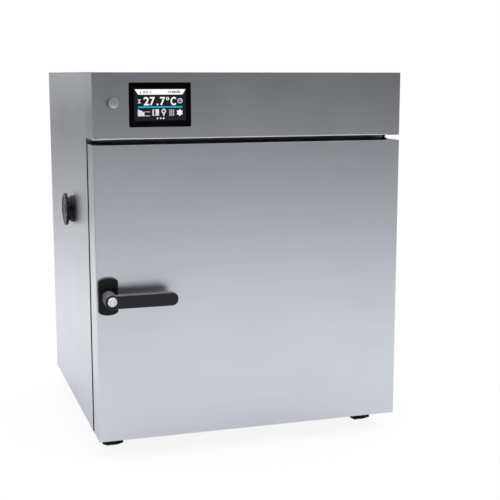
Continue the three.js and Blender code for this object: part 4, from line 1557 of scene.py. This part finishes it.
@dataclass
class Chamber:
    """The heated space: its liner, racks, shelves and the air system behind the baffle."""

    edge: float = mm(0.35)
    frame_rod: float = mm(3)
    cross_rod: float = mm(2)
    wire: float = mm(1.3)
    wires: int = 17
    fan_blades: int = 8
    fan_depth: float = mm(18)
    fan_hub: float = mm(19)
    shaft_radius: float = mm(4)
    baffle_sheet: float = mm(1.2)
    inlet_radius: float = mm(13)
    inlet_ring: float = mm(36)
    heater_radius: float = mm(78)
    heater_rod: float = mm(3.5)

    def build(self) -> None:
        """Builds the chamber's pieces."""
        for node in ("chamber_liner", "rack_left", "rack_right"):
            refined(node, self.edge).piece(f"{node}_sheet", "cabinet", CHAMBER_STEEL, "chamber_steel", [node])
        for node in ("shelf_lower", "shelf_upper"):
            self.shelf(node)
        self.baffle()
        self.fan()
        self.heater()
        for node in ("temperature_probe", "safety_probe"):
            span = Span.of(node)
            rod = Form.rod(
                (span.centre.x, span.low.y, span.centre.z),
                (span.centre.x, span.high.y, span.centre.z),
                span.size.x / 2,
                32,
                mm(1.1),
            )
            rod.piece(f"{node}_rod", "cabinet", BRIGHT_WIRE, "chrome", [node])

    def shelf(self, node: str) -> None:
        """Makes a wire shelf: a frame of round rods, two cross rods and wires from front to back.

        Args:
            node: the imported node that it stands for, whose name begins with shelf.
        """
        span = Span.of(node)
        r = self.frame_rod
        z = span.low.z + r
        x0, x1 = span.low.x + r, span.high.x - r
        y0, y1 = span.low.y + r, span.high.y - r
        form = Form()
        inset, rim = mm(0.4), mm(1.2)
        left, right = span.low.x + inset, span.high.x - inset
        front, back = span.low.y + inset, span.high.y - inset
        for y in (y0, y1):
            form.with_forms(Form.rod((left, y, z), (right, y, z), r, 16, rim))
        for x in (x0, x1):
            form.with_forms(Form.rod((x, front, z), (x, back, z), r, 16, rim))
        for share in (1 / 3, 2 / 3):
            y = span.low.y + share * span.size.y
            form.with_forms(Form.rod((x0, y, z), (x1, y, z), self.cross_rod, 14))
        pitch = (x1 - x0) / (self.wires + 1)
        top = span.low.z + 2 * r - mm(1)
        front, back = span.low.y + mm(1), span.high.y - mm(1)
        for step in range(self.wires):
            x = x0 + (step + 1) * pitch
            form.with_forms(Form.rod((x, front, top), (x, back, top), self.wire, 12, mm(0.5)))
        body = "lower_shelf" if node.endswith("lower") else "upper_shelf"
        form.piece(f"{node}_wires", body, BRIGHT_WIRE, "chamber_steel", [node])

    def baffle(self) -> None:
        """Makes the pan over the fan, with its inlet holes and its outlet slots."""
        span, sheet = Span.of("air_baffle"), self.baffle_sheet
        low, high = span.low, span.high
        form = Form.block(low, high, mm(2), 3)
        inner_low = (low.x + sheet, low.y + sheet, low.z + sheet)
        form.carved(Form.block(inner_low, (high.x - sheet, high.y + mm(5), high.z - sheet)))
        back, front = low.y + mm(6), low.y - mm(4)
        x, z = span.centre.x, Span.of("fan_wheel").centre.z
        tools = Form()
        ring = [(0.0, 0.0)] + [
            (self.inlet_ring * math.cos(turn), self.inlet_ring * math.sin(turn))
            for turn in (math.radians(step) for step in range(0, 360, 60))
        ]
        for dx, dz in ring:
            at = (x + dx, z + dz)
            tools.with_forms(Form.rod((at[0], front, at[1]), (at[0], back, at[1]), self.inlet_radius, 48))
        for side in (-1, 1):
            for dz in (-120, -60, 0, 60, 120):
                slot = Form.slab(mm(10), mm(44), back - front, mm(4.9))
                across = x + side * (span.size.x / 2 - mm(22))
                tools.with_forms(slot.placed((across, back, z + mm(dz)), Facing.FRONT))
        for node in ("temperature_probe", "safety_probe"):
            place = Span.of(node).centre
            tools.with_forms(Form.rod((place.x, front, place.z), (place.x, back, place.z), mm(2.8), 24))
        form.carved(tools)
        form.piece("baffle_pan", "cabinet", BAFFLE_STEEL, "chamber_steel", ["air_baffle"])

    def fan(self) -> None:
        """Makes the fan wheel: a back disc, a hub, a shaft and leaning blades."""
        span = Span.of("fan_wheel")
        x, z = span.centre.x, span.centre.z
        radius = span.size.x / 2
        front, back = span.low.y, span.low.y + self.fan_depth
        hub, shaft_radius = self.fan_hub, self.shaft_radius
        profile = [
            (0, -(back + mm(1.5))),
            (radius, -(back + mm(1.5))),
            (radius, -back),
            (mm(20), -back),
            (hub, -(back - mm(1))),
            (hub, -(front + mm(1.4))),
            (mm(17.6), -front),
            (0, -front),
        ]
        shaft = [(0, -span.high.y), (shaft_radius, -span.high.y), (shaft_radius, -back), (0, -back)]
        form = Form.lathe(profile, 72).with_forms(Form.lathe(shaft, 32))
        form.placed((x, 0, z), Facing.FRONT)
        root, tip = (mm(16), front + mm(0.4), -mm(0.7)), (radius - mm(2), back + mm(0.4), mm(0.7))
        for step in range(self.fan_blades):
            blade = Form.block(root, tip, mm(0.25))
            blade.turned(20, "Y").placed((0, 0, mm(6))).turned(step * 360 / self.fan_blades, "Y")
            form.with_forms(blade.placed((x, 0, z)))
        form.piece("fan_rotor", "fan", ZINC, "chamber_steel", ["fan_wheel"])

    def heater(self) -> None:
        """Makes the sheathed heater ring and its leads."""
        span, fan = Span.of("heater_element"), Span.of("fan_wheel")
        rod, ring_radius = self.heater_rod, self.heater_radius
        ring_y = span.low.y + rod
        circle = [
            (ring_radius + rod * math.cos(turn), rod * math.sin(turn))
            for turn in (math.radians(step) for step in range(0, 360, 24))
        ]
        form = Form.lathe(circle, 80, closed=True).placed((fan.centre.x, ring_y, fan.centre.z), Facing.FRONT)
        for across in (-12, 12):
            x, z = fan.centre.x + mm(across), fan.centre.z - ring_radius
            form.with_forms(Form.rod((x, ring_y, z), (x, span.high.y, z), rod, 20, mm(0.8)))
        form.piece("heater_ring", "cabinet", HEATER_SHEATH, "zinc_steel", ["heater_element"])


@dataclass
class RearFittings:
    """What the back carries: the mains inlet, the fuse holder and a blank plate."""

    pin_length: float = mm(13)
    socket_depth: float = mm(16)
    screw_spread: float = mm(20)
    fuse_radius: float = mm(8)
    fuse_collar: float = mm(10)
    fuse_proud: float = mm(4)
    plate_corner: float = mm(3)
    rivet_inset: float = mm(4)

    def build(self) -> None:
        """Builds the fittings."""
        self.inlet()
        self.fuse()
        self.plate()

    def inlet(self) -> None:
        """Makes the appliance inlet with its three pins and two screws."""
        span = Span.of("mains_inlet")
        form = refined("mains_inlet", mm(0.8), 3)
        form.piece("mains_inlet_body", "cabinet", INLET_PLASTIC, "black_plastic", ["mains_inlet"])
        floor = span.high.y - self.socket_depth
        pins = Form()
        for dx, dz in ((-7, -1.6), (0, 2.4), (7, -1.6)):
            x, z = span.centre.x + mm(dx), span.centre.z + mm(dz)
            low = (x - mm(1), floor - mm(1), z - mm(2))
            high = (x + mm(1), floor + self.pin_length, z + mm(2))
            pins.with_forms(Form.block(low, high, mm(0.4), 3))
        pins.piece("mains_inlet_pins", "cabinet", BRIGHT_WIRE, "chrome")
        across = [span.centre.x + side * self.screw_spread for side in (-1, 1)]
        places = [(x, span.high.y, span.centre.z) for x in across]
        heads = screws(places, Facing.BACK, mm(2.6), mm(0.9))
        heads.piece("mains_inlet_screws", "cabinet", ZINC, "zinc_steel")

    def fuse(self) -> None:
        """Makes the fuse holder with its slotted cap."""
        span = Span.of("fuse_holder")
        back, panel = span.high.y, span.high.y - self.fuse_proud
        r, collar = self.fuse_radius, self.fuse_collar
        profile = [
            (0, span.low.y),
            (r, span.low.y),
            (r, panel),
            (collar, panel),
            (collar, panel + mm(1)),
            (mm(9.4), panel + mm(1.6)),
            (mm(7.4), panel + mm(1.9)),
            (mm(7), back - mm(0.7)),
            (mm(6.3), back),
            (0, back),
        ]
        slot = Form.block((-mm(5), -mm(0.7), back - mm(1.3)), (mm(5), mm(0.7), back + mm(1)))
        form = Form.lathe(profile, 56).carved(slot).placed((span.centre.x, 0, span.centre.z), Facing.BACK)
        form.piece("fuse_holder_body", "cabinet", INLET_PLASTIC, "black_plastic", ["fuse_holder"])

    def plate(self) -> None:
        """Makes the blank plate with a rivet in each corner."""
        span = Span.of("blank_plate")
        form = Form.slab(span.size.x, span.size.z, span.size.y, self.plate_corner, mm(0.25))
        form.placed((span.centre.x, span.low.y, span.centre.z), Facing.BACK)
        form.piece("blank_plate_sheet", "cabinet", BRIGHT_WIRE, "chrome", ["blank_plate"])
        rivets, inset = Form(), self.rivet_inset
        profile = [(0, 0), (mm(2), 0), (mm(1.7), mm(0.5)), (mm(0.9), mm(0.85)), (0, mm(0.95))]
        for x in (span.low.x + inset, span.high.x - inset):
            for z in (span.low.z + inset, span.high.z - inset):
                rivets.with_forms(Form.lathe(profile, 24).placed((x, span.high.y, z), Facing.BACK))
        rivets.piece("blank_plate_rivets", "cabinet", ZINC, "zinc_steel")


class Carried:
    """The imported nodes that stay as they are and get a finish."""

    FINISHES: dict[str, Finish] = {
        "display_module": SCREEN_DARK,
        "controller_board": BOARD,
        "power_supply": ZINC,
        "fan_motor": ZINC,
        "insulation_left": FOAM,
        "insulation_right": FOAM,
        "insulation_bottom": FOAM,
        "insulation_top": FOAM,
        "insulation_rear": FOAM,
        "door_insulation": FOAM,
    }

    def build(self) -> None:
        """Gives each node its finish."""
        for node, finish in self.FINISHES.items():
            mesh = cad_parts[node].data
            if mesh.materials:
                mesh.materials[0] = finish.material()
            else:
                mesh.materials.append(finish.material())
            log.info("%s keeps its shape, finished as %s", node, finish.name)


# ---- Studio ----


@dataclass
class Studio:
    """The camera, the floor, the surroundings and the lights."""

    location: Triple = (-0.59915, -2.1401, 0.70305)
    tilt: float = 80.698
    pan: float = -17.805
    lens: float = 77.13
    sensor: float = 36.0
    floor_radius: float = 24.0
    fade_reach: float = 12.0
    # The floor's colour against distance from the middle: a painted pool of light.
    fade: tuple[Pair, ...] = (
        (0.0, 0.83), (0.09, 0.83), (0.18, 0.7), (0.28, 0.55), (0.42, 0.41), (0.8, 0.27), (1.0, 0.2)
    )
    horizon_front: float = 0.04
    horizon_back: float = 0.58
    overhead: float = 1.78
    aim: Triple = (0.0, 0.0, 0.35)

    def build(self) -> None:
        """Sets up the whole studio."""
        self.camera()
        self.floor()
        self.surroundings()
        self.lamp("key_light", (1.5, -1.6, 2.6), 1.6, 14.0)
        self.lamp("fill_light", (-2.2, -0.6, 1.9), 1.4, 6.0)

    def camera(self) -> None:
        """Makes the camera and makes it the scene's own."""
        data = bpy.data.cameras.new("camera")
        data.lens, data.sensor_width = self.lens, self.sensor
        holder = placed_object("camera", data)
        holder.location = self.location
        holder.rotation_euler = (math.radians(self.tilt), 0.0, math.radians(self.pan))
        bpy.context.scene.camera = holder

    def floor(self) -> None:
        """Makes the pale floor."""
        mesh = bpy.data.meshes.new("floor")
        bm = bmesh.new()
        bmesh.ops.create_circle(bm, cap_ends=True, segments=96, radius=self.floor_radius)
        bmesh.ops.recalc_face_normals(bm, faces=bm.faces)
        if bm.faces[:][0].normal.z < 0:
            bmesh.ops.reverse_faces(bm, faces=bm.faces[:])
        bm.to_mesh(mesh)
        bm.free()
        mesh.materials.append(self.floor_material())
        holder = placed_object("floor", mesh)
        holder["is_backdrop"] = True

    def floor_material(self) -> bpy.types.Material:
        """Returns the floor's material: a painted pool of light, pale near the object and grey far off, and
        white as a backdrop.
        """
        material = bpy.data.materials.new("floor")
        material.use_nodes = True
        nodes = Nodes(material.node_tree)
        nodes.tree.nodes.clear()
        place = nodes.add("TexCoord").outputs["Object"]
        reach = nodes.add("VectorMath", place, setup={"operation": "LENGTH"}).outputs["Value"]
        share = nodes.add("Math", reach, self.fade_reach, setup={"operation": "DIVIDE"})
        fade = nodes.add("FloatCurve", Value=share)
        points = fade.mapping.curves[0].points
        points[0].location, points[1].location = self.fade[0], self.fade[-1]
        for point in self.fade[1:-1]:
            points.new(*point)
        fade.mapping.update()
        far = nodes.add("MapRange", setup=SMOOTH, Value=reach, From_Min=0.3, From_Max=0.7, To_Min=0.9)
        seen = nodes.add("LightPath").outputs["Is Camera Ray"]
        backdrop = nodes.add("Math", far, seen, setup=MULTIPLY)
        mix = nodes.add("MixShader", backdrop, nodes.add("BsdfDiffuse", Color=fade), nodes.add("Emission"))
        nodes.add("OutputMaterial", Surface=mix)
        return material

    def surroundings(self) -> None:
        """Makes the studio's walls and ceiling: grey at eye level, bright overhead, white as a backdrop."""
        world = bpy.data.worlds.new("studio")
        bpy.context.scene.world = world
        bpy.context.scene.view_settings.view_transform = "Standard"
        world.use_nodes = True
        nodes = Nodes(world.node_tree)
        nodes.tree.nodes.clear()
        toward = nodes.add("SeparateXYZ", nodes.add("TexCoord").outputs["Generated"])
        along = nodes.add(
            "MapRange",
            setup=SMOOTH,
            Value=toward.outputs["Y"],
            From_Min=-0.8,
            From_Max=0.5,
            To_Min=self.horizon_front,
            To_Max=self.horizon_back,
        )
        rise = nodes.add("MapRange", setup=SMOOTH, Value=toward.outputs["Z"], From_Min=0.3, From_Max=0.8)
        level = nodes.add("Mix", Factor=rise, A=along, B=self.overhead).outputs["Result"]
        room = nodes.add("Background", Color=(0.985, 0.99, 1.0), Strength=level)
        backdrop = nodes.add("Background", Color=(1.0, 1.0, 1.0))
        seen = nodes.add("LightPath").outputs["Is Camera Ray"]
        nodes.add("OutputWorld", Surface=nodes.add("MixShader", seen, room, backdrop))

    def lamp(self, name: str, at: Triple, size: float, power: float) -> None:
        """Makes a soft area light that looks at the object.

        Args:
            name: its name.
            at: its place.
            size: the side of its square.
            power: its power in watts.
        """
        data = bpy.data.lights.new(name, "AREA")
        data.size, data.energy = size, power
        holder = placed_object(name, data)
        holder.location = at
        holder.rotation_euler = (Vector(self.aim) - Vector(at)).to_track_quat("-Z", "Y").to_euler()


def corners() -> list[list[float]]:
    """Returns the shown object's lowest and highest corners as plain lists."""
    return [[float(value) for value in corner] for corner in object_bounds()]


def main() -> None:
    """Builds the incubator's pieces in order."""
    logging.basicConfig(level=logging.INFO, format="%(name)s %(message)s")
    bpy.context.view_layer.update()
    for builder in (
        Studio(),
        Cabinet(),
        Fascia(),
        Screen(),
        Door(),
        Handle(),
        Hinges(),
        Port(),
        Chamber(),
        RearFittings(),
        Carried(),
    ):
        log.info("building %s", type(builder).__name__)
        builder.build()


if __name__ == "__main__":
    main()
